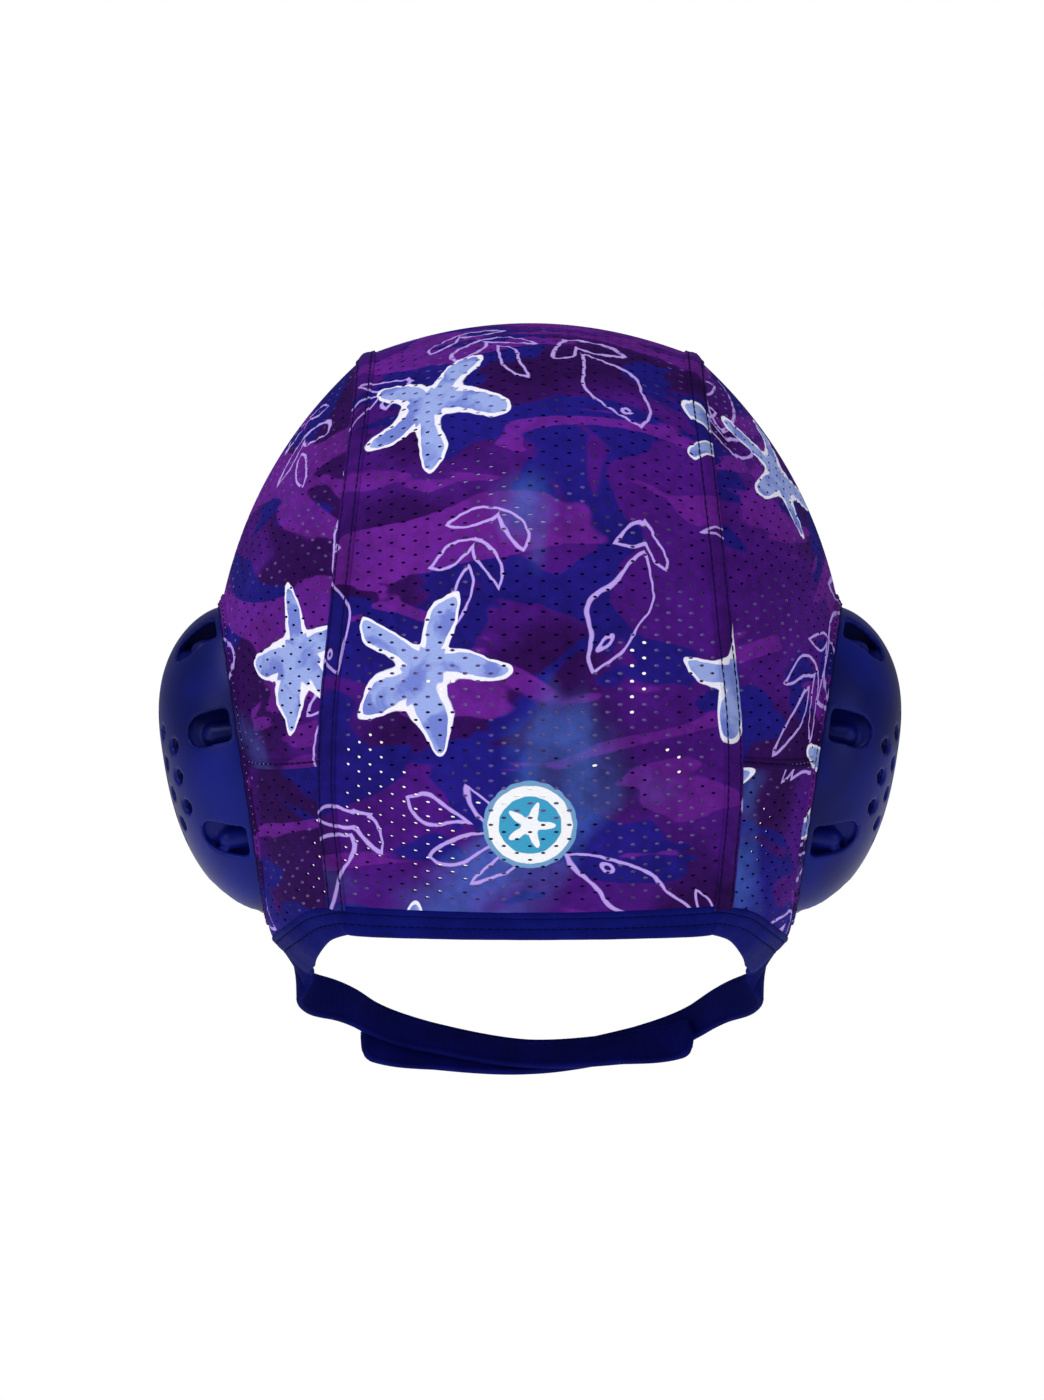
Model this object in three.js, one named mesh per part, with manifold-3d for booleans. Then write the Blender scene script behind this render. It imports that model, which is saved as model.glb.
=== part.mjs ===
// A water polo cap: a perforated cloth cap with moulded ear guards, bound edges and a closed chin strap.
// Millimetres. +Z is up, +Y is the way the wearer faces, +X is the wearer's right.
// The origin is where the crown of the head touches the inside of the cap.

import * as THREE from 'three';
import Module from 'manifold-3d';
import { mergeVertices } from 'three/addons/utils/BufferGeometryUtils.js';

const wasm = await Module();
wasm.setup();

// Cap
const CAP_LENGTH = 198; // forehead to back of the head, outside
const CAP_MIDDLE = -2; // forward place of the middle of that length, seen from the crown
const CAP_DROP = 177.3; // crown to the lower end of the cloth at the nape
const PANEL_HALF_WIDTH = 61; // centre line to the seam where the centre panel is widest
const CLOTH_WALL = 1.5;
const CLOTH_BULGE = 0.085; // how far a side panel swells, as a share of its width
const SEAM_GAP = 0.3; // clearance between neighbouring pieces
const HEAD_LEVEL = 0.56; // drop of the head's middle, as a share of CAP_DROP

// Ear guards
const GUARD_SPREAD = 85.5; // centre line to the middle of a guard's sewing edge
const GUARD_DROP = 131;
const GUARD_FORWARD = -5;
const GUARD_LEAN = THREE.MathUtils.degToRad(8.7); // the lower end leans towards the neck
const GUARD_HEIGHT = 93;
const GUARD_WIDTH = 68;
const GUARD_DEPTH = 24.1;
const GUARD_WALL = 2;
const GUARD_PEAK_LIFT = 6; // the highest point of the dome lies this far above its middle
const DOME_FULLNESS = 2.5; // powers of the dome's profile
const DOME_SHOULDER = 0.6;
const FLANGE_WIDTH = 4;
const FLANGE_WALL = 1.2;
const FLANGE_MARGIN = 1; // from the flange's edge to the cloth's first ring
const FLANGE_LIMIT = 0.6; // where the cloth is narrow that ring lies at this share of its width

// Openings in a guard
const WINDOW_COUNT = 7;
const WINDOW_WIDTH = 10;
const WINDOW_LENGTH = 13;
const WINDOW_LIFT = 2.4; // sewing edge to the straight end of a window
const WINDOW_START = 0.6; // a window is cut outwards from this share of the way from the peak to the rim
const WINDOW_REACH = 0.4; // and over this share of the guard's height
const VENT_DIAMETER = 4.4;
const VENT_PITCH = 9.2;
const VENT_RINGS = 2;
const VENT_BACK = 3; // the vents lie a little behind and below the middle
const VENT_DOWN = 2;
const POST_DIAMETER = 7;
const POST_HEIGHT = 7.6; // to the middle of its round head
const POST_CLEARANCE = 0.8; // between the head and the dome's inner wall
const POST_SLOPE = THREE.MathUtils.degToRad(45); // where the post's round head is faceted
const COLLAR_SHARE = 0.76; // the wall round the ear stands at this share of the way from the peak to the rim
const COLLAR_WALL = 1.4;
const WEB_WALL = 3; // the web that ties a post to the wall
const WEB_DROP = 1; // the web's top below the window's straight end

// Binding and straps
const BAND_WALL = 2.4;
const NAPE_BAND_HEIGHT = 9.2;
const CORNER_BAND_HEIGHT = 14;
const FACE_BAND_HEIGHT = 9;
const NAPE_BAND_LEAN = THREE.MathUtils.degToRad(4); // the band's lower edge leans in towards the head
const CORNER_BAND_LEAN = THREE.MathUtils.degToRad(14);
const FACE_BAND_LEAN = THREE.MathUtils.degToRad(3);
const FACE_BAND_START = 0.05; // the turn in radians from the front corner to the face band's end
const STRAP_WIDTH = 14;
const STRAP_WALL = 2;
const STRAP_DROP = 222; // crown to the middle of the strap under the chin
const STRAP_FORWARD = 67;
const STRAP_CROSSING = 4; // how far the two straps lie off each other's line at the ends
const STRAP_END = 50.5; // centre line to the free end of each strap

// Centre panel, from the forehead edge to the nape edge. Forward places are shares of half the cap length,
// drops are shares of CAP_DROP and widths are shares of PANEL_HALF_WIDTH.
const PANEL_SECTIONS = [
  { forward: 1.0, drop: 0.406, seamOut: 0.885, seamForward: 0.869, seamDrop: 0.429 },
  { forward: 0.99, drop: 0.293, seamOut: 0.885, seamForward: 0.859, seamDrop: 0.327 },
  { forward: 0.899, drop: 0.164, seamOut: 0.869, seamForward: 0.788, seamDrop: 0.22 },
  { forward: 0.687, drop: 0.062, seamOut: 0.836, seamForward: 0.616, seamDrop: 0.121 },
  { forward: 0.404, drop: 0.011, seamOut: 0.82, seamForward: 0.374, seamDrop: 0.068 },
  { forward: 0.101, drop: 0.0, seamOut: 0.811, seamForward: 0.081, seamDrop: 0.056 },
  { forward: -0.263, drop: 0.014, seamOut: 0.811, seamForward: -0.222, seamDrop: 0.071 },
  { forward: -0.566, drop: 0.079, seamOut: 0.828, seamForward: -0.465, seamDrop: 0.147 },
  { forward: -0.788, drop: 0.192, seamOut: 0.861, seamForward: -0.646, seamDrop: 0.243 },
  { forward: -0.929, drop: 0.35, seamOut: 0.902, seamForward: -0.747, seamDrop: 0.372 },
  { forward: -0.99, drop: 0.519, seamOut: 0.943, seamForward: -0.778, seamDrop: 0.519 },
  { forward: -1.0, drop: 0.666, seamOut: 0.984, seamForward: -0.758, seamDrop: 0.666 },
  { forward: -0.949, drop: 0.807, seamOut: 0.992, seamForward: -0.722, seamDrop: 0.801 },
  { forward: -0.859, drop: 0.919, seamOut: 0.967, seamForward: -0.667, seamDrop: 0.908 },
  { forward: -0.768, drop: 1.0, seamOut: 0.946, seamForward: -0.606, seamDrop: 0.989 },
];

// Free edge of the side cloth. Widths are shares of GUARD_SPREAD, the rest as above.
const LOWER_EDGE = [
  { out: 0.772, forward: -0.495, drop: 1.0 },
  { out: 0.854, forward: -0.323, drop: 1.027 },
  { out: 0.895, forward: -0.081, drop: 1.043 },
  { out: 0.883, forward: 0.162, drop: 1.049 },
];
const FRONT_EDGE = [
  { out: 0.912, forward: 0.283, drop: 0.959 },
  { out: 0.93, forward: 0.384, drop: 0.846 },
  { out: 0.936, forward: 0.455, drop: 0.722 },
  { out: 0.924, forward: 0.525, drop: 0.609 },
  { out: 0.865, forward: 0.626, drop: 0.519 },
  { out: 0.772, forward: 0.747, drop: 0.462 },
];

// Middle line of a strap from just past its root to the chin: widths are shares of GUARD_SPREAD, forward places of
// STRAP_FORWARD, drops of STRAP_DROP. Roll turns its upper edge forward, in degrees.
const STRAP_SECTIONS = [
  { out: 0.801, forward: 0.403, drop: 0.899, roll: 20 },
  { out: 0.702, forward: 0.597, drop: 0.928, roll: 32 },
  { out: 0.561, forward: 0.776, drop: 0.963, roll: 42 },
  { out: 0.351, forward: 0.925, drop: 0.984, roll: 52 },
  { out: 0.0, forward: 1.0, drop: 1.0, roll: 57 },
];

// Corners of a band's section: shares of its height and of half its wall
const BAND_CORNERS = [
  { down: 0, out: 0.8 },
  { down: 0.15, out: 1 },
  { down: 0.85, out: 1 },
  { down: 1, out: 0.55 },
  { down: 1, out: -0.55 },
  { down: 0.85, out: -1 },
  { down: 0.15, out: -1 },
  { down: 0, out: -0.8 },
];
// Corners of a strap's section: shares of half its width and of half its wall
const STRAP_CORNERS = [
  { wide: 0.9, out: 1 },
  { wide: 1, out: 0.4 },
  { wide: 1, out: -0.4 },
  { wide: 0.9, out: -1 },
  { wide: -0.9, out: -1 },
  { wide: -1, out: -0.4 },
  { wide: -1, out: 0.4 },
  { wide: -0.9, out: 1 },
];

// Mesh fineness
const PANEL_ROWS = 34;
const PANEL_COLUMNS = 8;
const EDGE_STEPS = 8;
const SIDE_RINGS = 5;
const DOME_SIDES = 28;
const ROUND_SIDES = 7; // vents and posts
const COLLAR_SIDES = 12;
const STRAP_STEPS = 22;
const OUTER_RINGS = [0.32, 0.56, 0.75, 0.88, 0.96, 1]; // shares of the way from the dome's peak to its rim
const INNER_RINGS = [0.96, 0.86, 0.66, 0.36];
const SEAM_SAMPLES = 240;
const LINE_SAMPLES = 400;
const ALONG_STEP = 0.004; // steps at which a surface's slopes are taken
const SHARE_STEP = 0.02;
const ANGLE_MARGIN = 0.02; // the least turn in radians between two sections of a side panel

const TURN = 2 * Math.PI;

const CLOTH = new THREE.MeshStandardMaterial({ color: 0x4a1c8c, roughness: 0.8, metalness: 0 });
const PLASTIC = new THREE.MeshStandardMaterial({ color: 0x101a66, roughness: 0.35, metalness: 0 });
const TAPE = new THREE.MeshStandardMaterial({ color: 0x0c1478, roughness: 0.85, metalness: 0 });

const FLANGE_TOP = CLOTH_WALL + SEAM_GAP; // how deep the flange lies under the cloth's outside
const GUARD_BOTTOM = -(FLANGE_TOP + FLANGE_WALL); // in a guard's own frame
const LOCAL_OUT = new THREE.Vector3(0, 0, 1); // out of a guard, in the guard's own frame
const HEAD_CENTRE = new THREE.Vector3(0, CAP_MIDDLE, -HEAD_LEVEL * CAP_DROP);

/** The point part of the way from one point to another. */
function between(from, to, share) {
  return from.clone().lerp(to, share);
}

/** The point that lies a distance from another in a direction. */
function moved(point, direction, distance) {
  return point.clone().addScaledVector(direction, distance);
}

/** A closed geometry from points and triangles, with its faces turned outwards. */
function solid(points, triangles) {
  let volume = 0;
  for (const [a, b, c] of triangles) {
    volume += points[a].dot(points[b].clone().cross(points[c]));
  }
  const outward = volume > 0 ? triangles : triangles.map(([a, b, c]) => [a, c, b]);
  const geometry = new THREE.BufferGeometry();
  geometry.setAttribute('position', new THREE.Float32BufferAttribute(points.flatMap((p) => p.toArray()), 3));
  geometry.setIndex(outward.flat());
  return geometry;
}

/** A wall between two grids of points of the same size, closed along its four rims. */
function wall(outside, inside) {
  const rows = outside.length;
  const columns = outside[0].length;
  const points = [...outside.flat(), ...inside.flat()];
  const front = (row, column) => row * columns + column;
  const back = (row, column) => rows * columns + front(row, column);
  const triangles = [];
  const quad = (a, b, c, d) => triangles.push([a, b, c], [a, c, d]);
  for (let r = 0; r < rows - 1; r++) {
    for (let c = 0; c < columns - 1; c++) {
      quad(front(r, c), front(r, c + 1), front(r + 1, c + 1), front(r + 1, c));
      quad(back(r, c), back(r + 1, c), back(r + 1, c + 1), back(r, c + 1));
    }
    quad(front(r, 0), front(r + 1, 0), back(r + 1, 0), back(r, 0));
    quad(front(r, columns - 1), back(r, columns - 1), back(r + 1, columns - 1), front(r + 1, columns - 1));
  }
  for (let c = 0; c < columns - 1; c++) {
    quad(front(0, c), back(0, c), back(0, c + 1), front(0, c + 1));
    quad(front(rows - 1, c), front(rows - 1, c + 1), back(rows - 1, c + 1), back(rows - 1, c));
  }
  return solid(points, triangles);
}

/** A solid swept through closed rings of points of the same count, with flat ends unless it runs round in a loop. */
function swept(rings, loop = false) {
  const sides = rings[0].length;
  const last = (rings.length - 1) * sides;
  const triangles = [];
  for (let r = 0; r < rings.length - (loop ? 0 : 1); r++) {
    const [here, there] = [r * sides, ((r + 1) % rings.length) * sides];
    for (let s = 0; s < sides; s++) {
      const next = (s + 1) % sides;
      triangles.push([here + s, here + next, there + next], [here + s, there + next, there + s]);
    }
  }
  for (let s = 1; s < sides - 1 && !loop; s++) {
    triangles.push([0, s + 1, s], [last, last + s, last + s + 1]);
  }
  return solid(rings.flat(), triangles);
}

/** A geometry mirrored to the wearer's left. */
function mirrored(geometry) {
  const position = geometry.getAttribute('position');
  const index = geometry.getIndex().array;
  const points = [];
  for (let i = 0; i < position.count; i++) {
    points.push(new THREE.Vector3(-position.getX(i), position.getY(i), position.getZ(i)));
  }
  const triangles = [];
  for (let i = 0; i < index.length; i += 3) {
    triangles.push([index[i], index[i + 1], index[i + 2]]);
  }
  return solid(points, triangles);
}

// Centre panel

/** A place on the cap from its three shares. */
function place(outShare, outSize, forward, drop) {
  return new THREE.Vector3(outShare * outSize, CAP_MIDDLE + (forward * CAP_LENGTH) / 2, -drop * CAP_DROP);
}

const centreLine = new THREE.CatmullRomCurve3(
  PANEL_SECTIONS.map((s) => place(0, 0, s.forward, s.drop)),
  false,
  'centripetal',
);
const seamLine = new THREE.CatmullRomCurve3(
  PANEL_SECTIONS.map((s) => place(s.seamOut, PANEL_HALF_WIDTH, s.seamForward, s.seamDrop)),
  false,
  'centripetal',
);

/** A point of the centre panel's outside: along runs from forehead to nape, across from seam to seam (-1 to 1). */
function panelPoint(along, across) {
  const middle = centreLine.getPoint(along);
  const seam = seamLine.getPoint(along);
  return new THREE.Vector3(
    seam.x * across,
    middle.y + (seam.y - middle.y) * across * across,
    middle.z + (seam.z - middle.z) * across * across,
  );
}

/** The outward normal of a surface given as a function of two values. */
function normalOf(surface, u, v, stepU, stepV) {
  const acrossU = surface(u + stepU, v).sub(surface(u - stepU, v));
  const acrossV = surface(u, v + stepV).sub(surface(u, v - stepV));
  const normal = acrossU.cross(acrossV).normalize();
  const outward = surface(u, v).sub(HEAD_CENTRE);
  return normal.dot(outward) < 0 ? normal.negate() : normal;
}

/** The centre panel's outward normal. */
function panelNormal(along, across) {
  const inside = THREE.MathUtils.clamp(along, ALONG_STEP, 1 - ALONG_STEP);
  return normalOf(panelPoint, inside, across, ALONG_STEP, SHARE_STEP);
}

// Ear guard frame, on the wearer's right

const guardCentre = new THREE.Vector3(GUARD_SPREAD, GUARD_FORWARD, -GUARD_DROP);
const guardForward = new THREE.Vector3(0, 1, 0);
const guardUp = new THREE.Vector3(Math.sin(GUARD_LEAN), 0, Math.cos(GUARD_LEAN));
const guardOut = new THREE.Vector3(Math.cos(GUARD_LEAN), 0, -Math.sin(GUARD_LEAN));
const guardMatrix = new THREE.Matrix4().makeBasis(guardForward, guardUp, guardOut).setPosition(guardCentre);

/** The guard's sewing edge, grown by a distance. Angles run from the top towards the back. */
function rimPoint(angle, grow = 0) {
  return new THREE.Vector3(
    -(GUARD_WIDTH / 2 + grow) * Math.sin(angle),
    (GUARD_HEIGHT / 2 + grow) * Math.cos(angle),
    0,
  ).applyMatrix4(guardMatrix);
}

// Side cloth: rays from the guard's edge out to the seam, the lower edge or the front edge

/** An angle brought between 0 and a full turn. */
function wrapped(angle) {
  return ((angle % TURN) + TURN) % TURN;
}

/** The angle of a point round the guard's middle, from the top towards the back, 0 to a full turn. */
function angleOf(point) {
  return wrapped(Math.atan2(guardCentre.y - point.y, point.z - guardCentre.z));
}

/** Points along an open edge given as a table of shares, started and ended on given points. */
function edgeCurve(start, rows, end) {
  const points = rows.map((r) => place(r.out, GUARD_SPREAD, r.forward, r.drop));
  return new THREE.CatmullRomCurve3([start, ...points, ...(end ? [end] : [])], false, 'centripetal');
}

const napeCorner = seamLine.getPoint(1);
const foreheadCorner = seamLine.getPoint(0);
const lowerEdge = edgeCurve(napeCorner, LOWER_EDGE);
const frontCorner = lowerEdge.getPoint(1);
const frontEdge = edgeCurve(frontCorner, FRONT_EDGE, foreheadCorner);

/** Evenly spread values from 0 to 1. */
function shares(steps) {
  return Array.from({ length: steps + 1 }, (_, i) => i / steps);
}

/** The outer boundary of the side cloth, once round the guard, sorted by angle. */
function boundary() {
  const seam = shares(SEAM_SAMPLES).map((s) => ({ point: seamLine.getPoint(s), along: s }));
  const lower = shares(SEAM_SAMPLES / 2).map((s) => ({ point: lowerEdge.getPoint(s) }));
  const front = shares(SEAM_SAMPLES / 2).map((s) => ({ point: frontEdge.getPoint(s) }));
  const all = [...seam, ...lower.slice(1), ...front.slice(1, -1)];
  return all.map((b) => ({ ...b, angle: angleOf(b.point) })).sort((a, b) => a.angle - b.angle);
}

const BOUNDARY = boundary();

/** The boundary point at an angle. */
function edgePoint(angle) {
  const wanted = wrapped(angle);
  const above = BOUNDARY.findIndex((b) => b.angle >= wanted);
  const after = BOUNDARY[above < 0 ? 0 : above];
  const before = BOUNDARY[above <= 0 ? BOUNDARY.length - 1 : above - 1];
  const span = wrapped(after.angle - before.angle);
  const share = span > 0 ? wrapped(wanted - before.angle) / span : 0;
  return between(before.point, after.point, share);
}

/** A point of the side cloth's outside: share runs from the guard (0) to the boundary (1). */
function sidePoint(angle, share) {
  const rim = rimPoint(angle);
  const edge = edgePoint(angle);
  const chord = edge.clone().sub(rim);
  const length = chord.length();
  const outward = between(rim, edge, 0.5).sub(HEAD_CENTRE);
  outward.addScaledVector(chord, -outward.dot(chord) / (length * length)).normalize();
  return moved(between(rim, edge, share), outward, CLOTH_BULGE * length * 4 * share * (1 - share));
}

/** The side cloth's outward normal. */
function sideNormal(angle, share) {
  return normalOf(sidePoint, angle, THREE.MathUtils.clamp(share, SHARE_STEP, 1 - SHARE_STEP), SHARE_STEP, SHARE_STEP);
}

/** The direction in which both panels are thick where they are sewn together. */
function seamNormal(along) {
  return panelNormal(along, 1).add(sideNormal(angleOf(seamLine.getPoint(along)), 1)).normalize();
}

/** The point and inside point of a cloth wall. */
function clothPair(point, normal, depth = CLOTH_WALL) {
  return { outside: point, inside: moved(point, normal, -depth) };
}

/** The centre panel, one wall from seam to seam. */
function centrePanel() {
  const pairs = shares(PANEL_ROWS).map((along) =>
    shares(PANEL_COLUMNS).map((share) => {
      const across = 2 * share - 1;
      const atSeam = Math.abs(across) > 0.999;
      const seam = panelPoint(along, across);
      if (!atSeam) {
        return clothPair(seam, panelNormal(along, across));
      }
      const side = Math.sign(across);
      const normal = seamNormal(along);
      normal.x *= side;
      const inward = panelPoint(along, across * 0.95).sub(seam).normalize();
      return clothPair(moved(seam, inward, SEAM_GAP / 2), normal);
    }),
  );
  return wall(
    pairs.map((row) => row.map((p) => p.outside)),
    pairs.map((row) => row.map((p) => p.inside)),
  );
}

const SEAM_ANGLES = shares(PANEL_ROWS).map((along) => angleOf(seamLine.getPoint(along)));
const CROSS_SEAM_BACK = Math.PI / 2;
const CROSS_SEAM_FRONT = (3 * Math.PI) / 2;
const FOREHEAD_ANGLE = angleOf(foreheadCorner);
const NAPE_ANGLE = angleOf(napeCorner);
const CORNER_ANGLE = angleOf(frontCorner);

/** Evenly spread angles between two, both included. */
function angles(from, to, steps) {
  return shares(steps).map((s) => from + (to - from) * s);
}

/** The angles of the seam's sections that lie strictly between two, in order. */
function seamAngles(from, to) {
  return SEAM_ANGLES.map((angle) => (angle > CORNER_ANGLE ? angle - TURN : angle))
    .filter((angle) => angle > from + ANGLE_MARGIN && angle < to - ANGLE_MARGIN)
    .sort((a, b) => a - b);
}

/** The seam share nearest to an angle, or null where the boundary is a free edge. */
function seamShareAt(angle) {
  const wanted = wrapped(angle);
  if (wanted > NAPE_ANGLE + 1e-6 && wanted < FOREHEAD_ANGLE - 1e-6) {
    return null;
  }
  const seam = BOUNDARY.filter((b) => b.along !== undefined);
  return seam.reduce((best, b) => (Math.abs(b.angle - wanted) < Math.abs(best.angle - wanted) ? b : best)).along;
}

/** The distance shares of the rings of one ray: the rim, the flange's reach, then even steps to the boundary. */
function rayShares(angle) {
  const length = rimPoint(angle).distanceTo(edgePoint(angle));
  const first = Math.min((FLANGE_WIDTH + FLANGE_MARGIN) / length, FLANGE_LIMIT);
  return [0, ...shares(SIDE_RINGS - 1).map((s) => first + (1 - first) * s)];
}

/** The outside point and thickness direction of one vertex of the side cloth. */
function sideVertex(angle, share, seamShare) {
  const point = sidePoint(angle, share);
  if (share === 0) {
    return { point: rimPoint(angle, SEAM_GAP), normal: guardOut.clone() };
  }
  if (share < 0.999) {
    return { point, normal: sideNormal(angle, share) };
  }
  const inward = sidePoint(angle, 0.97).sub(point).normalize();
  const onSeam = seamShare !== null;
  return {
    point: onSeam ? moved(point, inward, SEAM_GAP / 2) : point,
    normal: onSeam ? seamNormal(seamShare) : sideNormal(angle, 1),
  };
}

/** One side panel round part of a guard, with a clearance at both of its cross seams. */
function sidePanel(angleList) {
  const pairs = angleList.map((angle, i) => {
    const atStart = i === 0;
    const atEnd = i === angleList.length - 1;
    return rayShares(angle).map((share) => {
      const { point, normal } = sideVertex(angle, share, seamShareAt(angle));
      const neighbour = atStart ? angleList[1] : angleList[i - 1];
      if (atStart || atEnd) {
        const inward = sidePoint(neighbour, share).sub(sidePoint(angle, share)).normalize();
        point.addScaledVector(inward, SEAM_GAP / 2);
      }
      return clothPair(point, normal);
    });
  });
  return wall(
    pairs.map((row) => row.map((p) => p.outside)),
    pairs.map((row) => row.map((p) => p.inside)),
  );
}

/** The panel above the cross seams. */
function upperSidePanel() {
  const foreheadAngle = FOREHEAD_ANGLE - TURN;
  return sidePanel([
    ...angles(CROSS_SEAM_FRONT - TURN, foreheadAngle, EDGE_STEPS / 2),
    ...seamAngles(foreheadAngle, CROSS_SEAM_BACK),
    CROSS_SEAM_BACK,
  ]);
}

/** The panel below the cross seams. */
function lowerSidePanel() {
  return sidePanel([
    CROSS_SEAM_BACK,
    ...seamAngles(CROSS_SEAM_BACK, NAPE_ANGLE),
    ...angles(NAPE_ANGLE, CORNER_ANGLE, EDGE_STEPS),
    ...angles(CORNER_ANGLE, CROSS_SEAM_FRONT, EDGE_STEPS).slice(1),
  ]);
}

// Ear guard

/** The dome's height at a share of the way from its peak to its rim. */
function domeHeight(share, depth) {
  return depth * (1 - share ** DOME_FULLNESS) ** DOME_SHOULDER;
}

/** The share of the way from the peak to the rim at which a dome has a height. */
function domeShare(height, depth) {
  return (1 - (height / depth) ** (1 / DOME_SHOULDER)) ** (1 / DOME_FULLNESS);
}

/** A point of a dome in the guard's own frame: forward, up, out. */
function domePoint(angle, share, inset) {
  const rim = new THREE.Vector2(
    -(GUARD_WIDTH / 2 - inset) * Math.sin(angle),
    (GUARD_HEIGHT / 2 - inset) * Math.cos(angle),
  );
  const flat = new THREE.Vector2(0, GUARD_PEAK_LIFT).lerp(rim, share);
  return new THREE.Vector3(flat.x, flat.y, domeHeight(share, GUARD_DEPTH - inset));
}

/** The flange's point below the cloth: reach is the share of its width, depth how deep it lies. */
function flangePoint(angle, reach, depth) {
  const [, ringShare] = rayShares(angle);
  const start = moved(rimPoint(angle), guardOut, -depth);
  const ring = sidePoint(angle, ringShare);
  const end = moved(ring, sideNormal(angle, ringShare), -depth);
  const full = (FLANGE_WIDTH / (FLANGE_WIDTH + FLANGE_MARGIN)) * reach;
  return between(start, end, full).applyMatrix4(guardMatrix.clone().invert());
}

/** The guard's shell with its flange, before it is pierced, in the guard's own frame. */
function guardShell() {
  const rings = angles(0, TURN, DOME_SIDES)
    .slice(0, -1)
    .map((angle) => {
      const innerRim = domePoint(angle, 1, GUARD_WALL);
      return [
        ...OUTER_RINGS.map((share) => domePoint(angle, share, 0)),
        flangePoint(angle, 0, FLANGE_TOP),
        flangePoint(angle, 1, FLANGE_TOP),
        flangePoint(angle, 1, -GUARD_BOTTOM),
        innerRim.setZ(GUARD_BOTTOM),
        ...INNER_RINGS.map((share) => domePoint(angle, share, GUARD_WALL)),
      ];
    });
  const count = rings[0].length;
  const points = [
    ...rings.flat(),
    new THREE.Vector3(0, GUARD_PEAK_LIFT, GUARD_DEPTH),
    new THREE.Vector3(0, GUARD_PEAK_LIFT, GUARD_DEPTH - GUARD_WALL),
  ];
  const [outerPole, innerPole] = [DOME_SIDES * count, DOME_SIDES * count + 1];
  const triangles = [];
  for (let side = 0; side < DOME_SIDES; side++) {
    const here = side * count;
    const next = ((side + 1) % DOME_SIDES) * count;
    triangles.push([outerPole, here, next], [innerPole, next + count - 1, here + count - 1]);
    for (let i = 0; i < count - 1; i++) {
      triangles.push([here + i, here + i + 1, next + i + 1], [here + i, next + i + 1, next + i]);
    }
  }
  return solid(points, triangles);
}

/** A geometry as a solid that can be joined and cut. */
function toManifold(geometry) {
  const bare = geometry.clone();
  bare.deleteAttribute('normal');
  bare.deleteAttribute('uv');
  const merged = mergeVertices(bare, 1e-4);
  return new wasm.Manifold(
    new wasm.Mesh({
      numProp: 3,
      vertProperties: new Float32Array(merged.getAttribute('position').array),
      triVerts: new Uint32Array(merged.getIndex().array),
    }),
  );
}

/** The geometry of a joined or cut solid. */
function fromManifold(manifold) {
  const mesh = manifold.getMesh();
  const geometry = new THREE.BufferGeometry();
  geometry.setAttribute('position', new THREE.Float32BufferAttribute(mesh.vertProperties, 3));
  geometry.setIndex(Array.from(mesh.triVerts));
  return geometry;
}

/** The angles of the windows, spread evenly with one pair beside the top. */
function windowAngles() {
  return Array.from({ length: WINDOW_COUNT }, (_, i) => ((i + 0.5) * TURN) / WINDOW_COUNT);
}

/** The direction in the flange's plane that a window faces. */
function facing(angle) {
  return new THREE.Vector3(-Math.sin(angle), Math.cos(angle), 0);
}

/** A window's cutter: a straight end by the sewing edge and a round end towards the face. */
function windowCutter(angle) {
  const radius = WINDOW_WIDTH / 2;
  const straight = WINDOW_LIFT + WINDOW_LENGTH - radius;
  const outline = new THREE.Shape();
  outline.moveTo(-radius, WINDOW_LIFT);
  outline.lineTo(radius, WINDOW_LIFT);
  outline.lineTo(radius, straight);
  outline.absarc(0, straight, radius, 0, Math.PI, false);
  outline.closePath();
  const reach = GUARD_HEIGHT * WINDOW_REACH;
  const geometry = new THREE.ExtrudeGeometry(outline, { depth: reach, bevelEnabled: false, curveSegments: 3 });
  const out = facing(angle);
  const sideways = LOCAL_OUT.clone().cross(out);
  const start = domePoint(angle, WINDOW_START, 0).setZ(0);
  geometry.applyMatrix4(new THREE.Matrix4().makeBasis(sideways, LOCAL_OUT, out).setPosition(start));
  return geometry;
}

/** The vents' middles in the guard's plane: rings of a triangular pattern with upright columns. */
function ventCentres() {
  const centres = [];
  for (let column = -VENT_RINGS; column <= VENT_RINGS; column++) {
    const count = 2 * VENT_RINGS + 1 - Math.abs(column);
    for (let i = 0; i < count; i++) {
      const up = (i - (count - 1) / 2) * VENT_PITCH;
      const back = (column * VENT_PITCH * Math.sqrt(3)) / 2;
      centres.push(new THREE.Vector2(-VENT_BACK - back, up - VENT_DOWN));
    }
  }
  return centres;
}

/** A vent's cutter through the face of the dome. */
function ventCutter(centre) {
  const cutter = new THREE.CylinderGeometry(VENT_DIAMETER / 2, VENT_DIAMETER / 2, GUARD_DEPTH, ROUND_SIDES);
  cutter.rotateX(Math.PI / 2);
  cutter.translate(centre.x, centre.y, GUARD_DEPTH);
  return cutter;
}

/** The wall round the ear, from the flange up into the dome, which closes the windows off from the ear. */
function collar() {
  const sunk = COLLAR_WALL / (GUARD_WIDTH / 2);
  const rings = angles(0, TURN, COLLAR_SIDES)
    .slice(0, -1)
    .map((angle) => {
      const outer = domePoint(angle, COLLAR_SHARE, GUARD_WALL / 2);
      const inner = domePoint(angle, COLLAR_SHARE - sunk, GUARD_WALL / 2);
      return [outer.clone().setZ(GUARD_BOTTOM), outer, inner, inner.clone().setZ(GUARD_BOTTOM)];
    });
  return swept(rings, true);
}

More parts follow.
